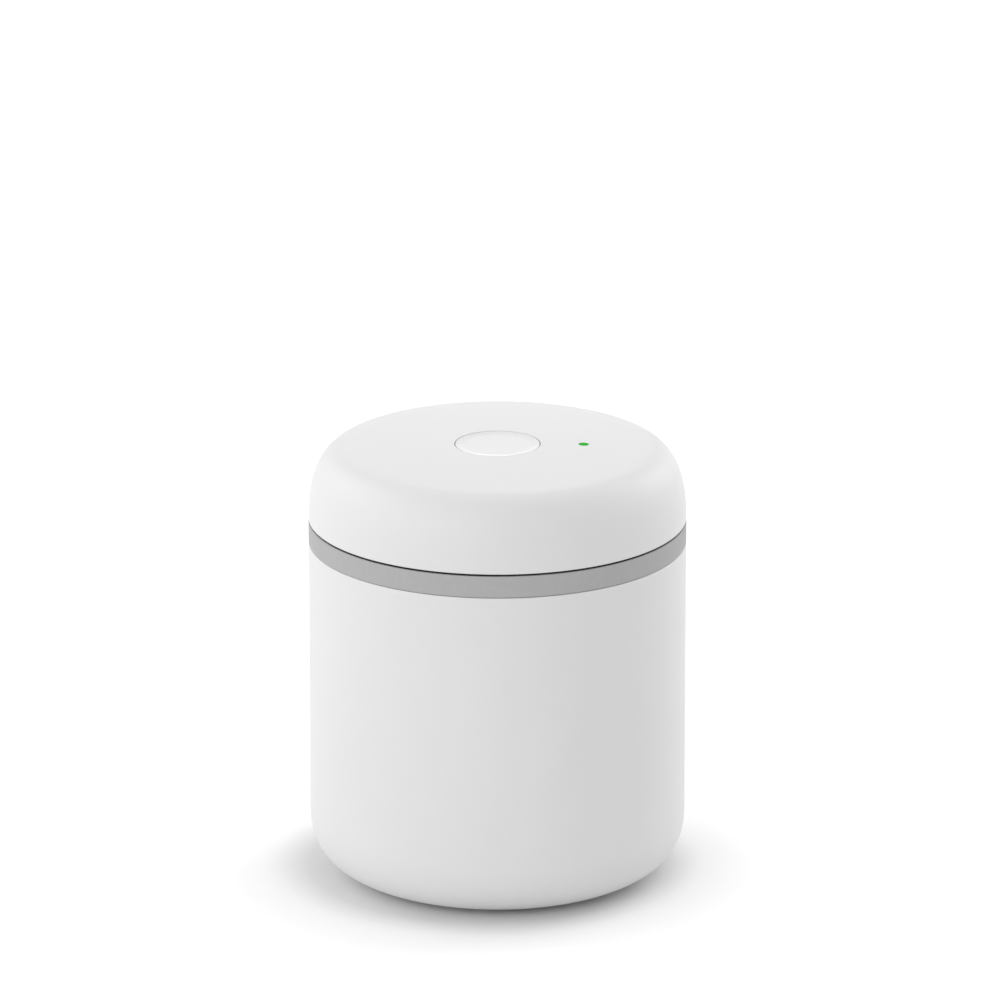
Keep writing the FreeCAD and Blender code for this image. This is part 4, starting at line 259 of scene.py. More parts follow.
rim_z = cup_high.z
band_top = box_in_mm("lid_gasket")[1].z
band_inside = SPIGOT_RADIUS + GASKET_FIT
plug_side = PLUG_RADIUS + GASKET_FIT
skirt_outer = mouth_radius - SKIRT_GAP
skirt_inner = skirt_outer - SKIRT_WALL
skirt_z = rim_z - SKIRT_DEPTH
web_top = rim_z + WEB
bead_z = rim_z + WEB / 2

seal = [(plug_side, rim_z)]
seal += corner((skirt_inner - SKIRT_EDGE, rim_z - SKIRT_EDGE), SKIRT_EDGE, SKIRT_EDGE, 90, 0)
seal += corner((skirt_inner + SKIRT_EDGE, skirt_z + SKIRT_EDGE), SKIRT_EDGE, SKIRT_EDGE, 180, 270)
seal += corner((skirt_outer - SKIRT_EDGE, skirt_z + SKIRT_EDGE), SKIRT_EDGE, SKIRT_EDGE, 270, 360)
for share in RIB_PLACES:
    seal += corner((skirt_outer, skirt_z + SKIRT_DEPTH * share), RIB_REACH, RIB_HEIGHT / 2, -90, 90)
band_low = rim_z + BAND_RELIEF
seal += [(skirt_outer, rim_z), (cup_radius - RELIEF_WIDTH, rim_z), (cup_radius - RELIEF_WIDTH, band_low)]
seal += corner((cup_radius - BAND_EDGE, band_low + BAND_EDGE), BAND_EDGE, BAND_EDGE, 270, 360)
seal += corner((cup_radius - BAND_EDGE, band_top - BAND_EDGE), BAND_EDGE, BAND_EDGE, 0, 90)
seal += [(band_inside, band_top), (band_inside, web_top), (plug_side, web_top)]
seal += corner((plug_side, bead_z), BEAD_REACH, BEAD_HEIGHT / 2, 90, 270)
seal.append(seal[0])

gasket = turn_outline("gasket", seal)
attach(gasket, "lid")
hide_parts("lid_gasket")

# %% [markdown]
# The button is a thin moulded cap with a skirt, a keeper flange that stops it under the cover, and a
# stem that reaches down to the switch. Its rim lies a hair under the cover, so that nothing sticks out,
# and its top is dished for the fingertip: flat in the middle, then rising to the rim. In front, where the
# eye looks almost along that rise, it mirrors the white studio as a thin bright crescent.

# %% Button
BUTTON_RADIUS = 12.25
BUTTON_EDGE = 0.15
BUTTON_INSET = 0.05
DISH_DEPTH = 0.3
DISH_FLAT_SHARE = 0.78
DISH_POWER = 1.5
DISH_STEPS = 16
STEM_RADIUS = 2.0
CAP_THICKNESS = 2.4
CAP_INSIDE = 10.85
FLANGE_RADIUS = 14.15
FLANGE_HEIGHT = 1.4
SEAT_DEPTH = 3.35

button_low, button_high = box_in_mm("button_cap")
cap_under = button_high.z - CAP_THICKNESS
seat_z = button_high.z - SEAT_DEPTH
flange_z = seat_z - FLANGE_HEIGHT

cap = [(0, button_low.z), (STEM_RADIUS, button_low.z), (STEM_RADIUS, cap_under)]
cap += [(CAP_INSIDE, cap_under), (CAP_INSIDE, flange_z), (FLANGE_RADIUS, flange_z)]
cap += [(FLANGE_RADIUS, seat_z), (BUTTON_RADIUS, seat_z)]
button_rim = box_in_mm("top_cover")[1].z - BUTTON_INSET
dish_radius = BUTTON_RADIUS - BUTTON_EDGE
cap += corner((dish_radius, button_rim - BUTTON_EDGE), BUTTON_EDGE, BUTTON_EDGE, 0, 90)
for step in range(1, DISH_STEPS + 1):
    rise = 1 - step / DISH_STEPS
    out = DISH_FLAT_SHARE + (1 - DISH_FLAT_SHARE) * rise
    cap.append((dish_radius * out, button_rim - DISH_DEPTH * (1 - rise**DISH_POWER)))
cap.append((0, button_rim - DISH_DEPTH))

button = turn_outline("button", cap)
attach(button, "button")
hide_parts("button_cap")

# %% [markdown]
# Wound springs bring the button and the valve's slug back. A mesh that kept its length would be cut by the
# piece that presses on it. The CAD springs already have every turn, so their meshes are copied. Such a mesh
# has double points along its seams, which are merged.

# %% Copy a CAD node
def copy_node(node, name):
    """A CAD node's mesh, merged, as a piece of its own."""
    bpy.ops.object.select_all(action="DESELECT")
    piece = bpy.data.objects.new(name, frame["nodes"][node].data.copy())
    piece.data.name = name
    bpy.context.collection.objects.link(piece)
    piece.select_set(True)
    bpy.context.view_layer.objects.active = piece
    bpy.ops.object.mode_set(mode="EDIT")
    bpy.ops.mesh.select_all(action="SELECT")
    bpy.ops.mesh.remove_doubles(threshold=WELD)
    bpy.ops.mesh.normals_make_consistent(inside=False)
    bpy.ops.object.mode_set(mode="OBJECT")
    bpy.ops.object.shade_smooth_by_angle(angle=CREASE)
    print(name, "has", len(piece.data.polygons), "faces")
    return piece


return_spring = copy_node("button_spring", "return_spring")
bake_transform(return_spring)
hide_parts("button_spring")

slug_spring = copy_node("valve_spring", "slug_spring")
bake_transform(slug_spring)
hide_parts("valve_spring")

# %% [markdown]
# Now the finishes. Colours are written as they look on a screen, as sRGB hex values, and one function
# turns them into the linear values that Blender calculates with. A second one adds a node: a setting
# that names a socket, or gives its number, fills that socket, any other setting is one of the node's
# own properties, and the links lead outputs of earlier nodes into its sockets. The Mix node has the same
# socket names for every type of value, so the sockets for colours go by their numbers.

# %% Colours and nodes
MIX_SHARE, MIX_FROM, MIX_TO, MIX_RESULT = 0, 6, 7, 2


def colour(hex_value):
    """An sRGB hex value as linear red, green, blue and alpha."""
    shares = [int(hex_value[k : k + 2], 16) / 255 for k in (1, 3, 5)]
    linear = [s / 12.92 if s <= 0.04045 else ((s + 0.055) / 1.055) ** 2.4 for s in shares]
    return (*linear, 1.0)


def add_node(owner, kind, settings=None, links=None):
    """One node in the tree of a material or world."""
    node = owner.node_tree.nodes.new(kind)
    for name, value in (settings or {}).items():
        if isinstance(name, int) or name in node.inputs:
            node.inputs[name].default_value = value
        else:
            setattr(node, name, value)
    for name, output in (links or {}).items():
        owner.node_tree.links.new(output, node.inputs[name])
    return node


def start_material(name):
    """An empty material and the place of each point on the piece, in metres."""
    material = bpy.data.materials.new(name)
    material.use_nodes = True
    material.node_tree.nodes.clear()
    place = add_node(material, "ShaderNodeTexCoord").outputs["Object"]
    return material, place


def finish_material(material, settings, links):
    """The surface shader with its own values and what varies over the surface."""
    surface = add_node(material, "ShaderNodeBsdfPrincipled", settings, links)
    add_node(material, "ShaderNodeOutputMaterial", {}, {"Surface": surface.outputs["BSDF"]})
    print("finish:", material.name)
    return material


print("a middle grey is", [round(share, 3) for share in colour("#808080")[:3]])

# %% [markdown]
# The outside of the canister is powder coated: charged polyester powder is sprayed on and melted in an
# oven. That leaves a matte, slightly waxy white with a faint orange peel about a millimetre wide.
# The peel is only some micrometres high, so it is a bump, and the gloss wanders a little with it.

# %% Powder coat
PEEL_WIDTH = 1.1 * MM
PEEL_HEIGHT = 0.004 * MM
CLOUD_WIDTH = 35 * MM

powder_coat, place = start_material("powder_coated_steel_white")
peel = add_node(
    powder_coat,
    "ShaderNodeTexNoise",
    {"Scale": 1 / PEEL_WIDTH, "Detail": 3.0},
    {"Vector": place},
)
cloud = add_node(powder_coat, "ShaderNodeTexNoise", {"Scale": 1 / CLOUD_WIDTH}, {"Vector": place})
tint = add_node(
    powder_coat,
    "ShaderNodeMix",
    {"data_type": "RGBA", MIX_FROM: colour("#ECECEC"), MIX_TO: colour("#F0F0F0")},
    {MIX_SHARE: cloud.outputs["Fac"]},
)
gloss = add_node(
    powder_coat,
    "ShaderNodeMapRange",
    {"To Min": 0.5, "To Max": 0.6},
    {"Value": peel.outputs["Fac"]},
)
bump = add_node(powder_coat, "ShaderNodeBump", {"Distance": PEEL_HEIGHT}, {"Height": peel.outputs["Fac"]})
finish_material(
    powder_coat,
    {"IOR": 1.5},
    {
        "Base Color": tint.outputs[MIX_RESULT],
        "Roughness": gloss.outputs["Result"],
        "Normal": bump.outputs["Normal"],
    },
)

# %% [markdown]
# Inside, the stainless steel is bare and polished with a rotating pad, so fine rings run round the wall
# and the base. A ring pattern depends on the distance from the axis plus the height, because one of the
# two changes on any surface of the cup. The real rings are finer than a pixel, so they are drawn half
# a millimetre wide.

# %% Bare steel
RING_WIDTH = 0.5 * MM
RING_HEIGHT = 0.002 * MM

bare_steel, place = start_material("stainless_steel_ring_polished")
flat = add_node(bare_steel, "ShaderNodeVectorMath", {"operation": "MULTIPLY", 1: (1, 1, 0)}, {0: place})
radius = add_node(bare_steel, "ShaderNodeVectorMath", {"operation": "LENGTH"}, {0: flat.outputs["Vector"]})
height = add_node(bare_steel, "ShaderNodeSeparateXYZ", {}, {0: place})
along = add_node(bare_steel, "ShaderNodeMath", {}, {0: radius.outputs["Value"], 1: height.outputs["Z"]})
rings = add_node(
    bare_steel,
    "ShaderNodeTexNoise",
    {"noise_dimensions": "1D", "Scale": 1 / RING_WIDTH, "Detail": 4.0},
    {"W": along.outputs["Value"]},
)
tint = add_node(
    bare_steel,
    "ShaderNodeMix",
    {"data_type": "RGBA", MIX_FROM: colour("#D0CECA"), MIX_TO: colour("#DDDBD7")},
    {MIX_SHARE: rings.outputs["Fac"]},
)
gloss = add_node(
    bare_steel,
    "ShaderNodeMapRange",
    {"To Min": 0.24, "To Max": 0.42},
    {"Value": rings.outputs["Fac"]},
)
bump = add_node(bare_steel, "ShaderNodeBump", {"Distance": RING_HEIGHT}, {"Height": rings.outputs["Fac"]})
finish_material(
    bare_steel,
    {"Metallic": 1.0},
    {
        "Base Color": tint.outputs[MIX_RESULT],
        "Roughness": gloss.outputs["Result"],
        "Normal": bump.outputs["Normal"],
    },
)

# %% [markdown]
# The cover and the button are moulded in white ABS. The mould is spark eroded, which prints a very fine
# even grain on the plastic: it looks matte and soft, with broad weak highlights. The grain is really
# about 0.1 mm, and is drawn at 0.5 mm so that it shows at all. The button's mould is rubbed down finer,
# and fingers polish it further, so it is a little glossier than the cover around it.

# %% Moulded white plastic
GRAIN_WIDTH = 0.5 * MM
GRAIN_HEIGHT = 0.003 * MM


def moulded_white(name, smoothest, roughest):
    """White ABS whose roughness wanders between two values with its grain."""
    plastic, place = start_material(name)
    grain = add_node(
        plastic,
        "ShaderNodeTexNoise",
        {"Scale": 1 / GRAIN_WIDTH, "Detail": 2.0},
        {"Vector": place},
    )
    cloud = add_node(plastic, "ShaderNodeTexNoise", {"Scale": 1 / CLOUD_WIDTH}, {"Vector": place})
    tint = add_node(
        plastic,
        "ShaderNodeMix",
        {"data_type": "RGBA", MIX_FROM: colour("#ECECEC"), MIX_TO: colour("#EFEFEF")},
        {MIX_SHARE: cloud.outputs["Fac"]},
    )
    gloss = add_node(
        plastic,
        "ShaderNodeMapRange",
        {"To Min": smoothest, "To Max": roughest},
        {"Value": grain.outputs["Fac"]},
    )
    bump = add_node(plastic, "ShaderNodeBump", {"Distance": GRAIN_HEIGHT}, {"Height": grain.outputs["Fac"]})
    links = {
        "Base Color": tint.outputs[MIX_RESULT],
        "Roughness": gloss.outputs["Result"],
        "Normal": bump.outputs["Normal"],
    }
    return finish_material(plastic, {"IOR": 1.53}, links)


white_abs = moulded_white("moulded_abs_white", 0.46, 0.56)
button_abs = moulded_white("moulded_abs_white_rubbed", 0.36, 0.44)

# %% [markdown]
# Silicone rubber is compression moulded, dull and a little dusty: it has a dry grey tone, hardly any
# highlight, and fine dust that it holds on to. The dust makes it lighter in small patches.

# %% Grey silicone
DUST_WIDTH = 1.6 * MM
DUST_HEIGHT = 0.004 * MM

silicone, place = start_material("moulded_silicone_grey")
dust = add_node(silicone, "ShaderNodeTexNoise", {"Scale": 1 / DUST_WIDTH, "Detail": 6.0}, {"Vector": place})
tint = add_node(
    silicone,
    "ShaderNodeMix",
    {"data_type": "RGBA", MIX_FROM: colour("#B4B4B4"), MIX_TO: colour("#BEBEBE")},
    {MIX_SHARE: dust.outputs["Fac"]},
)
gloss = add_node(
    silicone,
    "ShaderNodeMapRange",
    {"To Min": 0.6, "To Max": 0.78},
    {"Value": dust.outputs["Fac"]},
)
bump = add_node(silicone, "ShaderNodeBump", {"Distance": DUST_HEIGHT}, {"Height": dust.outputs["Fac"]})
finish_material(
    silicone,
    {"IOR": 1.41},
    {
        "Base Color": tint.outputs[MIX_RESULT],
        "Roughness": gloss.outputs["Result"],
        "Normal": bump.outputs["Normal"],
    },
)

# %% [markdown]
# The lid's base and the housings of pump, valve and switches are moulded in black ABS. It looks like
# the white plastic, but on black the grain shows as a satin shimmer instead of as shade. The grain breaks
# up most of the gloss, so that the base reads as a clean dark line between cover and band.

# %% Moulded black plastic
black_abs, place = start_material("moulded_abs_black")
grain = add_node(
    black_abs,
    "ShaderNodeTexNoise",
    {"Scale": 1 / GRAIN_WIDTH, "Detail": 3.0},
    {"Vector": place},
)
tint = add_node(
    black_abs,
    "ShaderNodeMix",
    {"data_type": "RGBA", MIX_FROM: colour("#121213"), MIX_TO: colour("#1C1C1E")},
    {MIX_SHARE: grain.outputs["Fac"]},
)
gloss = add_node(
    black_abs,
    "ShaderNodeMapRange",
    {"To Min": 0.4, "To Max": 0.58},
    {"Value": grain.outputs["Fac"]},
)
bump = add_node(
    black_abs,
    "ShaderNodeBump",
    {"Distance": 2 * GRAIN_HEIGHT},
    {"Height": grain.outputs["Fac"]},
)
finish_material(
    black_abs,
    {"IOR": 1.53, "Specular IOR Level": 0.3},
    {
        "Base Color": tint.outputs[MIX_RESULT],
        "Roughness": gloss.outputs["Result"],
        "Normal": bump.outputs["Normal"],
    },
)

# %% [markdown]
# The status light is a rod of green acrylic over a light on the board, frosted on top so that it doesn't
# glare. Lit from below, it glows green and is brightest on its axis, so the glow fades with the distance
# from the rod's middle.

# %% Lit acrylic
light_low, light_high = box_in_mm("light_pipe")
light_x = (light_low.x + light_high.x) / 2
GLOW_RADIUS = 1.6 * MM

acrylic, place = start_material("lit_acrylic_green")
from_axis = add_node(
    acrylic, "ShaderNodeVectorMath", {"operation": "SUBTRACT", 1: (light_x * MM, 0, 0)}, {0: place}
)
flat = add_node(
    acrylic,
    "ShaderNodeVectorMath",
    {"operation": "MULTIPLY", 1: (1, 1, 0)},
    {0: from_axis.outputs["Vector"]},
)
radius = add_node(acrylic, "ShaderNodeVectorMath", {"operation": "LENGTH"}, {0: flat.outputs["Vector"]})
fade = add_node(
    acrylic,
    "ShaderNodeMapRange",
    {"From Max": GLOW_RADIUS},
    {"Value": radius.outputs["Value"]},
)
glow = add_node(
    acrylic,
    "ShaderNodeMix",
    {"data_type": "RGBA", MIX_FROM: colour("#27B127"), MIX_TO: colour("#1F9E22")},
    {MIX_SHARE: fade.outputs["Result"]},
)
finish_material(
    acrylic,
    {
        "Base Color": colour("#0A3A10"),
        "Roughness": 0.6,
        "IOR": 1.49,
        "Specular IOR Level": 0.03,
        "Emission Strength": 1.0,
    },
    {"Emission Color": glow.outputs[MIX_RESULT]},
)

# %% [markdown]
# Inside the lid are the bought-in parts: motor, pump, valve, board and cell. Black rubber makes the
# boot round the motor, the diaphragm and the flaps. It is moulded nitrile, dull, with a bloom of talc
# that turns it a little grey in patches.

# %% Black rubber
BLOOM_WIDTH = 2.5 * MM

rubber, place = start_material("moulded_nitrile_rubber_black")
bloom = add_node(rubber, "ShaderNodeTexNoise", {"Scale": 1 / BLOOM_WIDTH, "Detail": 5.0}, {"Vector": place})
tint = add_node(
    rubber,
    "ShaderNodeMix",
    {"data_type": "RGBA", MIX_FROM: colour("#141415"), MIX_TO: colour("#2C2C2D")},
    {MIX_SHARE: bloom.outputs["Fac"]},
)
gloss = add_node(
    rubber,
    "ShaderNodeMapRange",
    {"To Min": 0.65, "To Max": 0.9},
    {"Value": bloom.outputs["Fac"]},
)
bump = add_node(rubber, "ShaderNodeBump", {"Distance": DUST_HEIGHT}, {"Height": bloom.outputs["Fac"]})
finish_material(
    rubber,
    {"IOR": 1.52},
    {
        "Base Color": tint.outputs[MIX_RESULT],
        "Roughness": gloss.outputs["Result"],
        "Normal": bump.outputs["Normal"],
    },
)

# %% [markdown]
# Screws, straps, springs and the motor's can are zinc-plated steel. The sheet was rolled along its
# length, so the fine lines in the plating run along X. A Mapping node stretches a noise for that:
# the lines are drawn 0.2 mm wide and 6 mm long.

# %% Plated steel
LINE_WIDTH = 0.2 * MM
LINE_LENGTH = 6 * MM

plated_steel, place = start_material("rolled_steel_zinc_plated")
stretch = add_node(
    plated_steel,
    "ShaderNodeMapping",
    {"Scale": (1 / LINE_LENGTH, 1 / LINE_WIDTH, 1 / LINE_WIDTH)},
    {"Vector": place},
)
lines = add_node(
    plated_steel,
    "ShaderNodeTexNoise",
    {"Scale": 1.0, "Detail": 3.0},
    {"Vector": stretch.outputs["Vector"]},
)
tint = add_node(
    plated_steel,
    "ShaderNodeMix",
    {"data_type": "RGBA", MIX_FROM: colour("#B4B6B8"), MIX_TO: colour("#CBCDCF")},
    {MIX_SHARE: lines.outputs["Fac"]},
)
gloss = add_node(
    plated_steel,
    "ShaderNodeMapRange",
    {"To Min": 0.22, "To Max": 0.42},
    {"Value": lines.outputs["Fac"]},
)
bump = add_node(plated_steel, "ShaderNodeBump", {"Distance": RING_HEIGHT}, {"Height": lines.outputs["Fac"]})
finish_material(
    plated_steel,
    {"Metallic": 1.0},
    {
        "Base Color": tint.outputs[MIX_RESULT],
        "Roughness": gloss.outputs["Result"],
        "Normal": bump.outputs["Normal"],
    },
)

# %% [markdown]
# The windings of the motor and the valve are enamelled copper wire, wound turn beside turn. The solids
# are plain bundles, so each wire is drawn on them as a band one wire wide: round the valve's coil the
# bands follow each other along X, and on the motor's teeth along Z. Each band darkens towards its edges,
# which is painted shade in the groove between two wires, and its crest has the copper's own colour.
# The enamel makes the copper redder and glossier than bare metal.

# %% Enamelled copper wire
WIRE = 0.4 * MM
WAVES_PER_SCALE = 20 / (2 * math.pi)


def wound_wire(name, direction):
    """Copper turns that follow each other along one axis."""
    winding, place = start_material(name)
    turns_and_groove_shade = add_node(
        winding,
        "ShaderNodeTexWave",
        {
            "bands_direction": direction,
            "Scale": 1 / (WIRE * WAVES_PER_SCALE),
            "Distortion": 0.4,
            "Detail": 1.0,
        },
        {"Vector": place},
    )
    # The dark end of the mix is painted shade in the groove between two wires; the light end is the copper's
    # own colour.
    tint = add_node(
        winding,
        "ShaderNodeMix",
        {"data_type": "RGBA", MIX_FROM: colour("#6E2F14"), MIX_TO: colour("#C2693A")},
        {MIX_SHARE: turns_and_groove_shade.outputs["Fac"]},
    )
    bump = add_node(winding, "ShaderNodeBump", {"Distance": WIRE / 4}, {"Height": turns_and_groove_shade.outputs["Fac"]})
    links = {"Base Color": tint.outputs[MIX_RESULT], "Normal": bump.outputs["Normal"]}
    return finish_material(winding, {"Metallic": 1.0, "Roughness": 0.3, "Coat Weight": 0.5}, links)


coil_wire = wound_wire("enamelled_copper_wire_coil", "X")
armature_wire = wound_wire("enamelled_copper_wire_armature", "Z")

# %% [markdown]
# The commutator and the terminals are bare copper strip, stamped and then tarnished where fingers and
# flux touched it. The tarnish is browner and duller than the metal.

# %% Copper strip
TARNISH_WIDTH = 1.5 * MM

copper_strip, place = start_material("stamped_copper_strip")
tarnish = add_node(
    copper_strip,
    "ShaderNodeTexNoise",
    {"Scale": 1 / TARNISH_WIDTH, "Detail": 4.0},
    {"Vector": place},
)
tint = add_node(
    copper_strip,
    "ShaderNodeMix",
    {"data_type": "RGBA", MIX_FROM: colour("#DB9468"), MIX_TO: colour("#A5663F")},
    {MIX_SHARE: tarnish.outputs["Fac"]},
)
gloss = add_node(
    copper_strip,
    "ShaderNodeMapRange",
    {"To Min": 0.2, "To Max": 0.5},
    {"Value": tarnish.outputs["Fac"]},
)
finish_material(
    copper_strip,
    {"Metallic": 1.0},
    {"Base Color": tint.outputs[MIX_RESULT], "Roughness": gloss.outputs["Result"]},
)

# %% [markdown]
# The motor's bushes are sintered bronze: powder pressed and baked, full of pores that hold oil. A cell
# pattern gives dark specks between bright grains: the specks are the pores, darker for the oil in them
# and with painted shade in the holes.

# %% Sintered bronze
PORE_SPACING = 0.35 * MM

bronze, place = start_material("sintered_bronze")
pores_and_painted_shade = add_node(bronze, "ShaderNodeTexVoronoi", {"Scale": 1 / PORE_SPACING}, {"Vector": place})
# The dark specks are the pores: partly the oil's own darker colour, partly painted shade in the holes.
tint = add_node(
    bronze,
    "ShaderNodeMix",
    {"data_type": "RGBA", MIX_FROM: colour("#6B4A24"), MIX_TO: colour("#B88B52")},
    {MIX_SHARE: pores_and_painted_shade.outputs["Distance"]},
)
bump = add_node(
    bronze,
    "ShaderNodeBump",
    {"Distance": PORE_SPACING / 20},
    {"Height": pores_and_painted_shade.outputs["Distance"]},
)
finish_material(
    bronze,
    {"Metallic": 1.0, "Roughness": 0.45},
    {"Base Color": tint.outputs[MIX_RESULT], "Normal": bump.outputs["Normal"]},
)

# %% [markdown]
# The armature is a stack of iron sheets half a millimetre thick, and its cut edges show as fine bands
# along the motor's axis. The magnets beside it are ferrite, a dark ceramic with a pressed grain.

# %% Iron sheets and ferrite
LAMINATION = 0.5 * MM
FERRITE_GRAIN = 0.6 * MM

iron_sheets, place = start_material("stacked_iron_sheets")
sheets = add_node(
    iron_sheets,
    "ShaderNodeTexWave",
    {"Scale": 1 / (LAMINATION * WAVES_PER_SCALE), "Distortion": 0.2},
    {"Vector": place},
)
tint = add_node(
    iron_sheets,
    "ShaderNodeMix",
    {"data_type": "RGBA", MIX_FROM: colour("#37383A"), MIX_TO: colour("#75777A")},
    {MIX_SHARE: sheets.outputs["Fac"]},
)
bump = add_node(
    iron_sheets,
    "ShaderNodeBump",
    {"Distance": LAMINATION / 20},
    {"Height": sheets.outputs["Fac"]},
)
finish_material(
    iron_sheets,
    {"Metallic": 1.0, "Roughness": 0.45},
    {"Base Color": tint.outputs[MIX_RESULT], "Normal": bump.outputs["Normal"]},
)

ferrite, place = start_material("pressed_ferrite")
grain = add_node(
    ferrite,
    "ShaderNodeTexNoise",
    {"Scale": 1 / FERRITE_GRAIN, "Detail": 6.0},
    {"Vector": place},
)
tint = add_node(
    ferrite,
    "ShaderNodeMix",
    {"data_type": "RGBA", MIX_FROM: colour("#1F1F21"), MIX_TO: colour("#3B3B3E")},
    {MIX_SHARE: grain.outputs["Fac"]},
)
bump = add_node(ferrite, "ShaderNodeBump", {"Distance": GRAIN_HEIGHT}, {"Height": grain.outputs["Fac"]})
finish_material(
    ferrite,
    {"Roughness": 0.7},
    {"Base Color": tint.outputs[MIX_RESULT], "Normal": bump.outputs["Normal"]},
)

# %% [markdown]
# The eccentric, the three-armed frame and the wire plugs are white acetal and nylon. These slide well
# because they are waxy: a warm white, quite smooth, with faint flow lines from the mould's gate.

# %% Acetal
FLOW_WIDTH = 1.2 * MM
FLOW_LENGTH = 8 * MM

acetal, place = start_material("moulded_acetal_white")
stretch = add_node(
    acetal,
    "ShaderNodeMapping",
    {"Scale": (1 / FLOW_LENGTH, 1 / FLOW_WIDTH, 1 / FLOW_WIDTH)},
    {"Vector": place},
)
flow = add_node(
    acetal,
    "ShaderNodeTexNoise",
    {"Scale": 1.0, "Detail": 2.0},
    {"Vector": stretch.outputs["Vector"]},
)
tint = add_node(
    acetal,
    "ShaderNodeMix",
    {"data_type": "RGBA", MIX_FROM: colour("#E6E3DA"), MIX_TO: colour("#F1EFE8")},
    {MIX_SHARE: flow.outputs["Fac"]},
)
gloss = add_node(
    acetal,
    "ShaderNodeMapRange",
    {"To Min": 0.28, "To Max": 0.42},
    {"Value": flow.outputs["Fac"]},
)
finish_material(
    acetal,
    {"IOR": 1.48},
    {"Base Color": tint.outputs[MIX_RESULT], "Roughness": gloss.outputs["Result"]},
)

# %% [markdown]
# The board is glass-fibre laminate under green solder mask. Copper tracks under the mask show as paler
# green lines, so the joints of a brick pattern stand for the tracks, a few millimetres apart.

# %% Board laminate
TRACK_SPACING = 4 * MM
TRACK_WIDTH_SHARE = 0.04

laminate, place = start_material("solder_masked_glass_laminate")
tracks = add_node(
    laminate,
    "ShaderNodeTexBrick",
    {
        "Color1": colour("#1C5A34"),
        "Color2": colour("#206239"),
        "Mortar": colour("#3B8A57"),
        "Scale": 1 / TRACK_SPACING,
        "Mortar Size": TRACK_WIDTH_SHARE,
        "Brick Width": 3.0,
        "Row Height": 1.0,
    },
    {"Vector": place},
)
bump = add_node(laminate, "ShaderNodeBump", {"Distance": DUST_HEIGHT}, {"Height": tracks.outputs["Fac"]})
finish_material(
    laminate,
    {"Roughness": 0.35, "IOR": 1.55},
    {"Base Color": tracks.outputs["Color"], "Normal": bump.outputs["Normal"]},
)

# %% [markdown]
# The cell is wrapped in blue heat-shrink film. The film is glossy, and where it shrank unevenly it has
# low wrinkles that run round the cell, short along its axis and long around it.

# %% Shrink wrap
WRINKLE_WIDTH = 2.0 * MM
WRINKLE_LENGTH = 9 * MM
WRINKLE_HEIGHT = 0.03 * MM

shrink_wrap, place = start_material("heat_shrink_film_blue")
stretch = add_node(
    shrink_wrap,
    "ShaderNodeMapping",
    {"Scale": (1 / WRINKLE_WIDTH, 1 / WRINKLE_LENGTH, 1 / WRINKLE_LENGTH)},
    {"Vector": place},
)
wrinkles = add_node(
    shrink_wrap,
    "ShaderNodeTexNoise",
    {"Scale": 1.0, "Detail": 3.0},
    {"Vector": stretch.outputs["Vector"]},
)
tint = add_node(
    shrink_wrap,
    "ShaderNodeMix",
    {"data_type": "RGBA", MIX_FROM: colour("#2A5C9A"), MIX_TO: colour("#3A70B0")},
    {MIX_SHARE: wrinkles.outputs["Fac"]},
)
bump = add_node(
    shrink_wrap,
    "ShaderNodeBump",
    {"Distance": WRINKLE_HEIGHT},
    {"Height": wrinkles.outputs["Fac"]},
)
finish_material(
    shrink_wrap,
    {"Roughness": 0.25, "IOR": 1.54},
    {"Base Color": tint.outputs[MIX_RESULT], "Normal": bump.outputs["Normal"]},
)

# %% [markdown]
# The air tubes are extruded silicone, milky and half clear. Light goes into them and comes out blurred,
# and the surface keeps faint cloudy patches.

# %% Clear silicone
MILK_WIDTH = 3 * MM

tube_silicone, place = start_material("extruded_silicone_milky")
milk = add_node(
    tube_silicone,
    "ShaderNodeTexNoise",
    {"Scale": 1 / MILK_WIDTH, "Detail": 3.0},
    {"Vector": place},
)
tint = add_node(
    tube_silicone,
    "ShaderNodeMix",
    {"data_type": "RGBA", MIX_FROM: colour("#DDE2E3"), MIX_TO: colour("#F2F4F4")},
    {MIX_SHARE: milk.outputs["Fac"]},
)
gloss = add_node(
    tube_silicone,
    "ShaderNodeMapRange",
    {"To Min": 0.3, "To Max": 0.55},
    {"Value": milk.outputs["Fac"]},
)
finish_material(
    tube_silicone,
    {"IOR": 1.41, "Transmission Weight": 0.6},
    {"Base Color": tint.outputs[MIX_RESULT], "Roughness": gloss.outputs["Result"]},
)

# %% [markdown]
# The suction filter is a disc of pressed wool felt. Its fibres lie in the plane of the disc, so the
# noise is squeezed in height, and a strong fine bump makes the surface fuzzy.

# %% Felt
FIBRE_WIDTH = 0.15 * MM
FIBRE_LENGTH = 1.5 * MM
FIBRE_HEIGHT = 0.08 * MM
FIBRE_TURN = math.radians(35)

felt, place = start_material("pressed_wool_felt")
stretch = add_node(
    felt,
    "ShaderNodeMapping",
    {"Scale": (1 / FIBRE_LENGTH, 1 / FIBRE_WIDTH, 1 / FIBRE_WIDTH), "Rotation": (0, 0, FIBRE_TURN)},
    {"Vector": place},
)
fibres = add_node(
    felt,
    "ShaderNodeTexNoise",
    {"Scale": 1.0, "Detail": 4.0, "Distortion": 1.5},
    {"Vector": stretch.outputs["Vector"]},
)
tint = add_node(
    felt,
    "ShaderNodeMix",
    {"data_type": "RGBA", MIX_FROM: colour("#BDB7A8"), MIX_TO: colour("#E4DFD3")},
    {MIX_SHARE: fibres.outputs["Fac"]},
)
bump = add_node(felt, "ShaderNodeBump", {"Distance": FIBRE_HEIGHT}, {"Height": fibres.outputs["Fac"]})
finish_material(
    felt,
    {"Roughness": 1.0, "Sheen Weight": 0.4},
    {"Base Color": tint.outputs[MIX_RESULT], "Normal": bump.outputs["Normal"]},
)

# %% [markdown]
# The wires are insulated with extruded vinyl. The die leaves it fairly glossy, with fine lines that break
# the gloss a little.

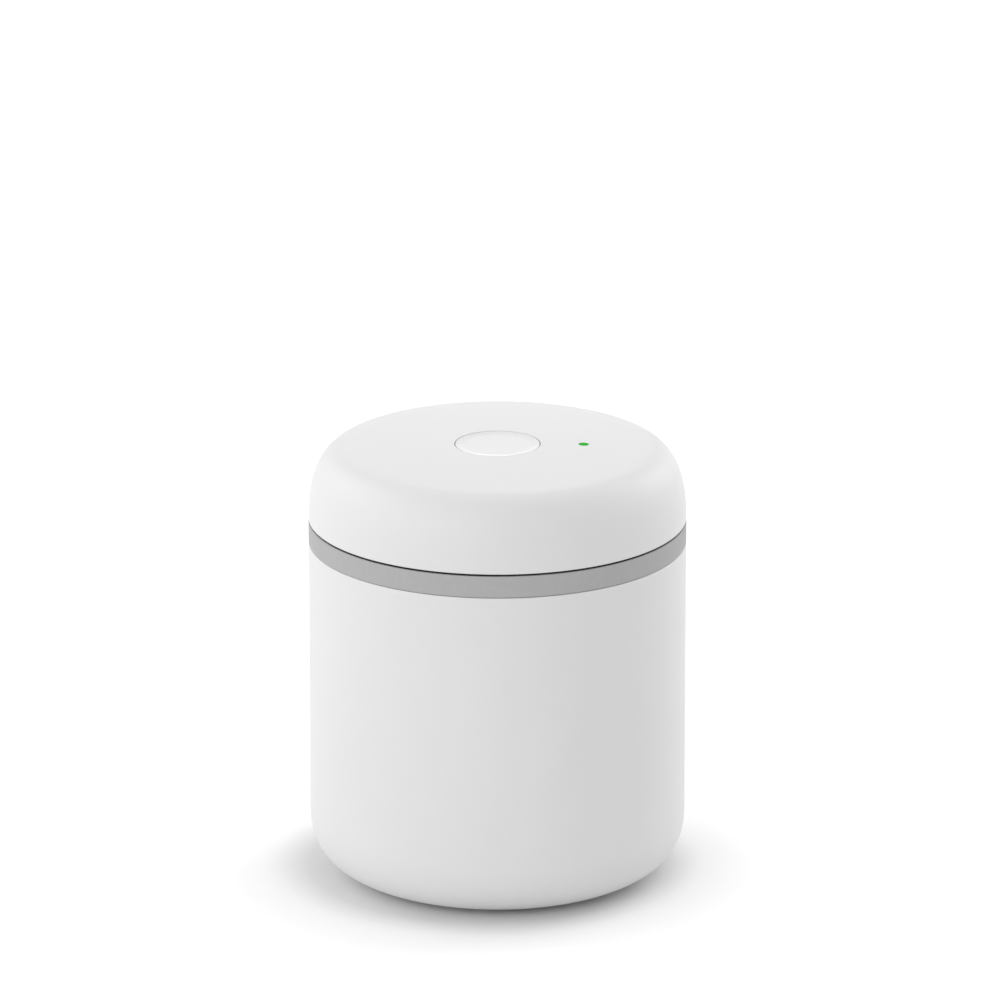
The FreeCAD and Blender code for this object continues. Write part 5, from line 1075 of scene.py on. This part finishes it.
# %% Wire insulation
def extruded_vinyl(name, darkest, lightest):
    """Vinyl insulation whose colour and gloss wander with the die's lines."""
    vinyl, place = start_material(name)
    lines = add_node(
        vinyl,
        "ShaderNodeTexNoise",
        {"Scale": 1 / LINE_WIDTH, "Detail": 2.0},
        {"Vector": place},
    )
    tint = add_node(
        vinyl,
        "ShaderNodeMix",
        {"data_type": "RGBA", MIX_FROM: colour(darkest), MIX_TO: colour(lightest)},
        {MIX_SHARE: lines.outputs["Fac"]},
    )
    gloss = add_node(
        vinyl,
        "ShaderNodeMapRange",
        {"To Min": 0.35, "To Max": 0.5},
        {"Value": lines.outputs["Fac"]},
    )
    return finish_material(
        vinyl,
        {"IOR": 1.54},
        {"Base Color": tint.outputs[MIX_RESULT], "Roughness": gloss.outputs["Result"]},
    )


black_vinyl = extruded_vinyl("extruded_vinyl_black", "#151516", "#212122")
red_vinyl = extruded_vinyl("extruded_vinyl_red", "#A81C1A", "#BA2523")

# %% [markdown]
# Each pair of wires is one red and one black, but both wires of a pair are one CAD node with one finish.
# So the pair is copied and merged, which leaves each wire in one piece: whatever is linked to the first
# point is the wire that becomes red.

# %% Wire pairs
for node in ("motor_wires", "valve_wires", "cell_wires"):
    pair = copy_node(node, node.replace("wires", "wire_pair"))
    pair.data.materials.clear()
    pair.data.materials.append(black_vinyl)
    pair.data.materials.append(red_vinyl)
    bpy.ops.object.mode_set(mode="EDIT")
    bpy.ops.mesh.select_all(action="DESELECT")
    bpy.ops.object.mode_set(mode="OBJECT")
    pair.data.vertices[0].select = True
    bpy.ops.object.mode_set(mode="EDIT")
    bpy.ops.mesh.select_linked()
    pair.active_material_index = 1
    bpy.ops.object.material_slot_assign()
    bpy.ops.object.mode_set(mode="OBJECT")
    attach(pair, "lid")
    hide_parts(node)

# %% [markdown]
# Now the CAD nodes get their finishes, also those that a new piece replaces. The record sorts the nodes into
# material slots, and the imported meshes carry those names, so one table from slot to finish serves nearly
# all of them. A few nodes are made differently from the rest of their slot and are named one by one.

# %% Dress the CAD nodes
slot_finishes = {
    "white_plastic": white_abs,
    "black_plastic": black_abs,
    "clear_green_plastic": acrylic,
    "black_rubber": rubber,
    "bright_steel": plated_steel,
    "copper": copper_strip,
    "bronze": bronze,
    "dark_iron": iron_sheets,
    "white_acetal": acetal,
    "board_laminate": laminate,
    "wrapped_cell": shrink_wrap,
    "clear_silicone": tube_silicone,
    "felt": felt,
    "grey_silicone": silicone,
    "white_coated_steel": powder_coat,
    "wire_insulation": black_vinyl,
}
node_finishes = {
    "armature_windings": armature_wire,
    "valve_coil": coil_wire,
    "motor_magnets": ferrite,
}
for name, node in frame["nodes"].items():
    for slot in node.material_slots:
        slot.material = node_finishes.get(name) or slot_finishes[slot.material.name]
print("dressed", len(frame["nodes"]), "CAD nodes")

# %% [markdown]
# The turned pieces and the springs get theirs too. The canister has two: powder coat outside, and bare
# steel on the faces that look inwards, up to the fold of the rim. A face looks inwards when its normal
# points to the axis, or upwards on the base.

# %% Dress the new pieces
LEANS_IN = -0.05
LOOKS_UP = 0.5

for spring in (return_spring, slug_spring):
    spring.data.materials.clear()
    spring.data.materials.append(plated_steel)
foot.data.materials.append(silicone)
gasket.data.materials.append(silicone)
button.data.materials.append(button_abs)
canister.data.materials.append(powder_coat)
canister.data.materials.append(bare_steel)

inward = 0
for face in canister.data.polygons:
    to_wall = face.center.xy.normalized()
    facing_in = face.normal.xy.dot(to_wall) < LEANS_IN or face.normal.z > LOOKS_UP
    under_rim = face.center.z < (rim_z - FOLD) * MM
    if facing_in and under_rim and face.center.z > (cup_low.z + SHEET / 2) * MM:
        face.material_index = 1
        inward += 1
print("bare steel on", inward, "faces of", len(canister.data.polygons))

# %% [markdown]
# The studio is white. The floor is one large pale sheet, lit like the object, so it takes a real contact
# shadow. A glow lifts the lit paper to full white. Only the rays that show the paper meet it: those from
# the camera, straight, mirrored or through clear pieces. So apart from reflections it doesn't light the
# object. It starts near the edge of the canister and grows quickly, then slowly, so round the base the
# paper stays darker: a painted shadow over the real one, deeper and tighter than the lamps make it. The
# glow's middle lies a little left of and behind the object, so that the painted shadow reaches farther to
# the left.
# The world is white for the same rays and calmer as a light, so that white surfaces keep their shading.

# %% Rays that show a surface
def showing_rays(owner):
    """1 for rays from the camera, straight, mirrored or let through, and 0 for rays that only light."""
    ray = add_node(owner, "ShaderNodeLightPath")
    seen = add_node(
        owner,
        "ShaderNodeMath",
        {"operation": "MAXIMUM"},
        {0: ray.outputs["Is Camera Ray"], 1: ray.outputs["Is Glossy Ray"]},
    )
    shown = add_node(
        owner,
        "ShaderNodeMath",
        {"operation": "MAXIMUM"},
        {0: seen.outputs["Value"], 1: ray.outputs["Is Transmission Ray"]},
    )
    return shown.outputs["Value"]


# %% Floor
FLOOR_SIZE = 8.0
PAINTED_SHADOW_MIDDLE = (-4 * MM, 2 * MM, 0)
FLOOR_GLOW_REACHES = (51.5 * MM, 64 * MM, 110 * MM)
FLOOR_GLOW_RISES = (0.22, 0.23)

bpy.ops.object.select_all(action="DESELECT")
bpy.ops.mesh.primitive_plane_add(size=FLOOR_SIZE)
floor = bpy.context.object
floor.name = "floor"

paper, place = start_material("white_paper")
fibres = add_node(paper, "ShaderNodeTexNoise", {"Scale": 1 / CLOUD_WIDTH, "Detail": 2.0}, {"Vector": place})
tint = add_node(
    paper,
    "ShaderNodeMix",
    {"data_type": "RGBA", MIX_FROM: colour("#EAEAEA"), MIX_TO: colour("#ECECEC")},
    {MIX_SHARE: fibres.outputs["Fac"]},
)
# Where the glow is missing, near its middle, the floor gets a painted shadow round the canister's base.
away = add_node(paper, "ShaderNodeVectorMath", {"operation": "DISTANCE", 1: PAINTED_SHADOW_MIDDLE}, {0: place})
rises = []
for start, end, rise in zip(FLOOR_GLOW_REACHES, FLOOR_GLOW_REACHES[1:], FLOOR_GLOW_RISES):
    reach = {"From Min": start, "From Max": end, "To Max": rise}
    rises.append(add_node(paper, "ShaderNodeMapRange", reach, {"Value": away.outputs["Value"]}))
glow_outside_painted_shadow = add_node(paper, "ShaderNodeMath", {}, {0: rises[0].outputs["Result"], 1: rises[1].outputs["Result"]})
glow = add_node(
    paper,
    "ShaderNodeMath",
    {"operation": "MULTIPLY"},
    {0: showing_rays(paper), 1: glow_outside_painted_shadow.outputs["Value"]},
)
finish_material(
    paper,
    {"Roughness": 1.0, "Specular IOR Level": 0.0, "Emission Color": colour("#FFFFFF")},
    {"Base Color": tint.outputs[MIX_RESULT], "Emission Strength": glow.outputs["Value"]},
)
floor.data.materials.append(paper)
print("floor of", FLOOR_SIZE, "m")

# %% World
SKY_LIGHT = 0.615

world = bpy.data.worlds.new("white_studio")
world.use_nodes = True
world.node_tree.nodes.clear()
level = add_node(
    world,
    "ShaderNodeMapRange",
    {"To Min": SKY_LIGHT, "To Max": 1.0},
    {"Value": showing_rays(world)},
)
sky = add_node(
    world,
    "ShaderNodeBackground",
    {"Color": colour("#FFFFFF")},
    {"Strength": level.outputs["Result"]},
)
add_node(world, "ShaderNodeOutputWorld", {}, {"Surface": sky.outputs["Background"]})
bpy.context.scene.world = world
bpy.context.scene.view_settings.view_transform = "Standard"
print("sky light", SKY_LIGHT)

# %% [markdown]
# Soft lamps shape the white on white. A large softbox on the left makes that side of the cover and the
# canister lighter, with a weaker one in front to carry its light round. Two behind, left and right, brighten
# the cover's shoulders and draw a light line along the right edge, and a weak one overhead fills the top.
# A small low one straight behind lights hardly anything, but shows in the front of the button's dish.

# %% Lamps
def soft_lamp(name, location, size, watts):
    """A square area lamp that shines at the middle of the object, with its place and size in metres."""
    bpy.ops.object.light_add(type="AREA", location=location)
    lamp = bpy.context.object
    lamp.name = lamp.data.name = name
    lamp.data.size = size
    lamp.data.energy = watts
    aim = (cad_low + cad_high) / 2 - lamp.location
    lamp.rotation_euler = aim.to_track_quat("-Z", "Y").to_euler()
    print(name, watts, "W")


soft_lamp("softbox_left", (-1.5, -0.6, 0.5), 1.5, 5.5)
soft_lamp("front_left", (-0.8, -1.5, 0.9), 0.8, 3.7)
soft_lamp("back_left", (-1.3, 0.8, 0.9), 1.0, 4.8)
soft_lamp("back_right", (1.2, 1.0, 0.8), 1.0, 9.0)
soft_lamp("overhead", (0, 0.2, 2.0), 0.8, 1.3)
soft_lamp("back_low", (0, 1.8, 0.3), 0.3, 0.7)

# %% [markdown]
# The camera stands where the photographer stood: 2.5 m away with a long lens, a little above the lid.
# A point on the canister's axis, 36 mm under its rim, is known in the picture, so the camera is aimed at
# it and then turned by the small angles that bring it to that pixel.

# %% Camera
PICTURE = 1000
SENSOR_WIDTH = 36.0
FOCAL_PIXELS = 8661
AIM_DEPTH = 36
AIM_PIXEL = (497.35, 656.5)
DISTANCE = 2533
ELEVATION = math.radians(18.677)

aim_z = rim_z - AIM_DEPTH
right, down = [(pixel - PICTURE / 2) / FOCAL_PIXELS for pixel in AIM_PIXEL]
back, up = DISTANCE * math.cos(ELEVATION), DISTANCE * math.sin(ELEVATION)
bpy.ops.object.camera_add(
    location=(0, -back * MM, (aim_z + up) * MM),
    rotation=(math.pi / 2 - ELEVATION + math.atan(down), 0, math.atan(right)),
)
camera = bpy.context.object
camera.data.sensor_width = SENSOR_WIDTH
camera.data.lens = SENSOR_WIDTH * FOCAL_PIXELS / PICTURE
camera.data.clip_end = FLOOR_SIZE
bpy.context.scene.camera = camera
print("lens", round(camera.data.lens, 1), "mm")
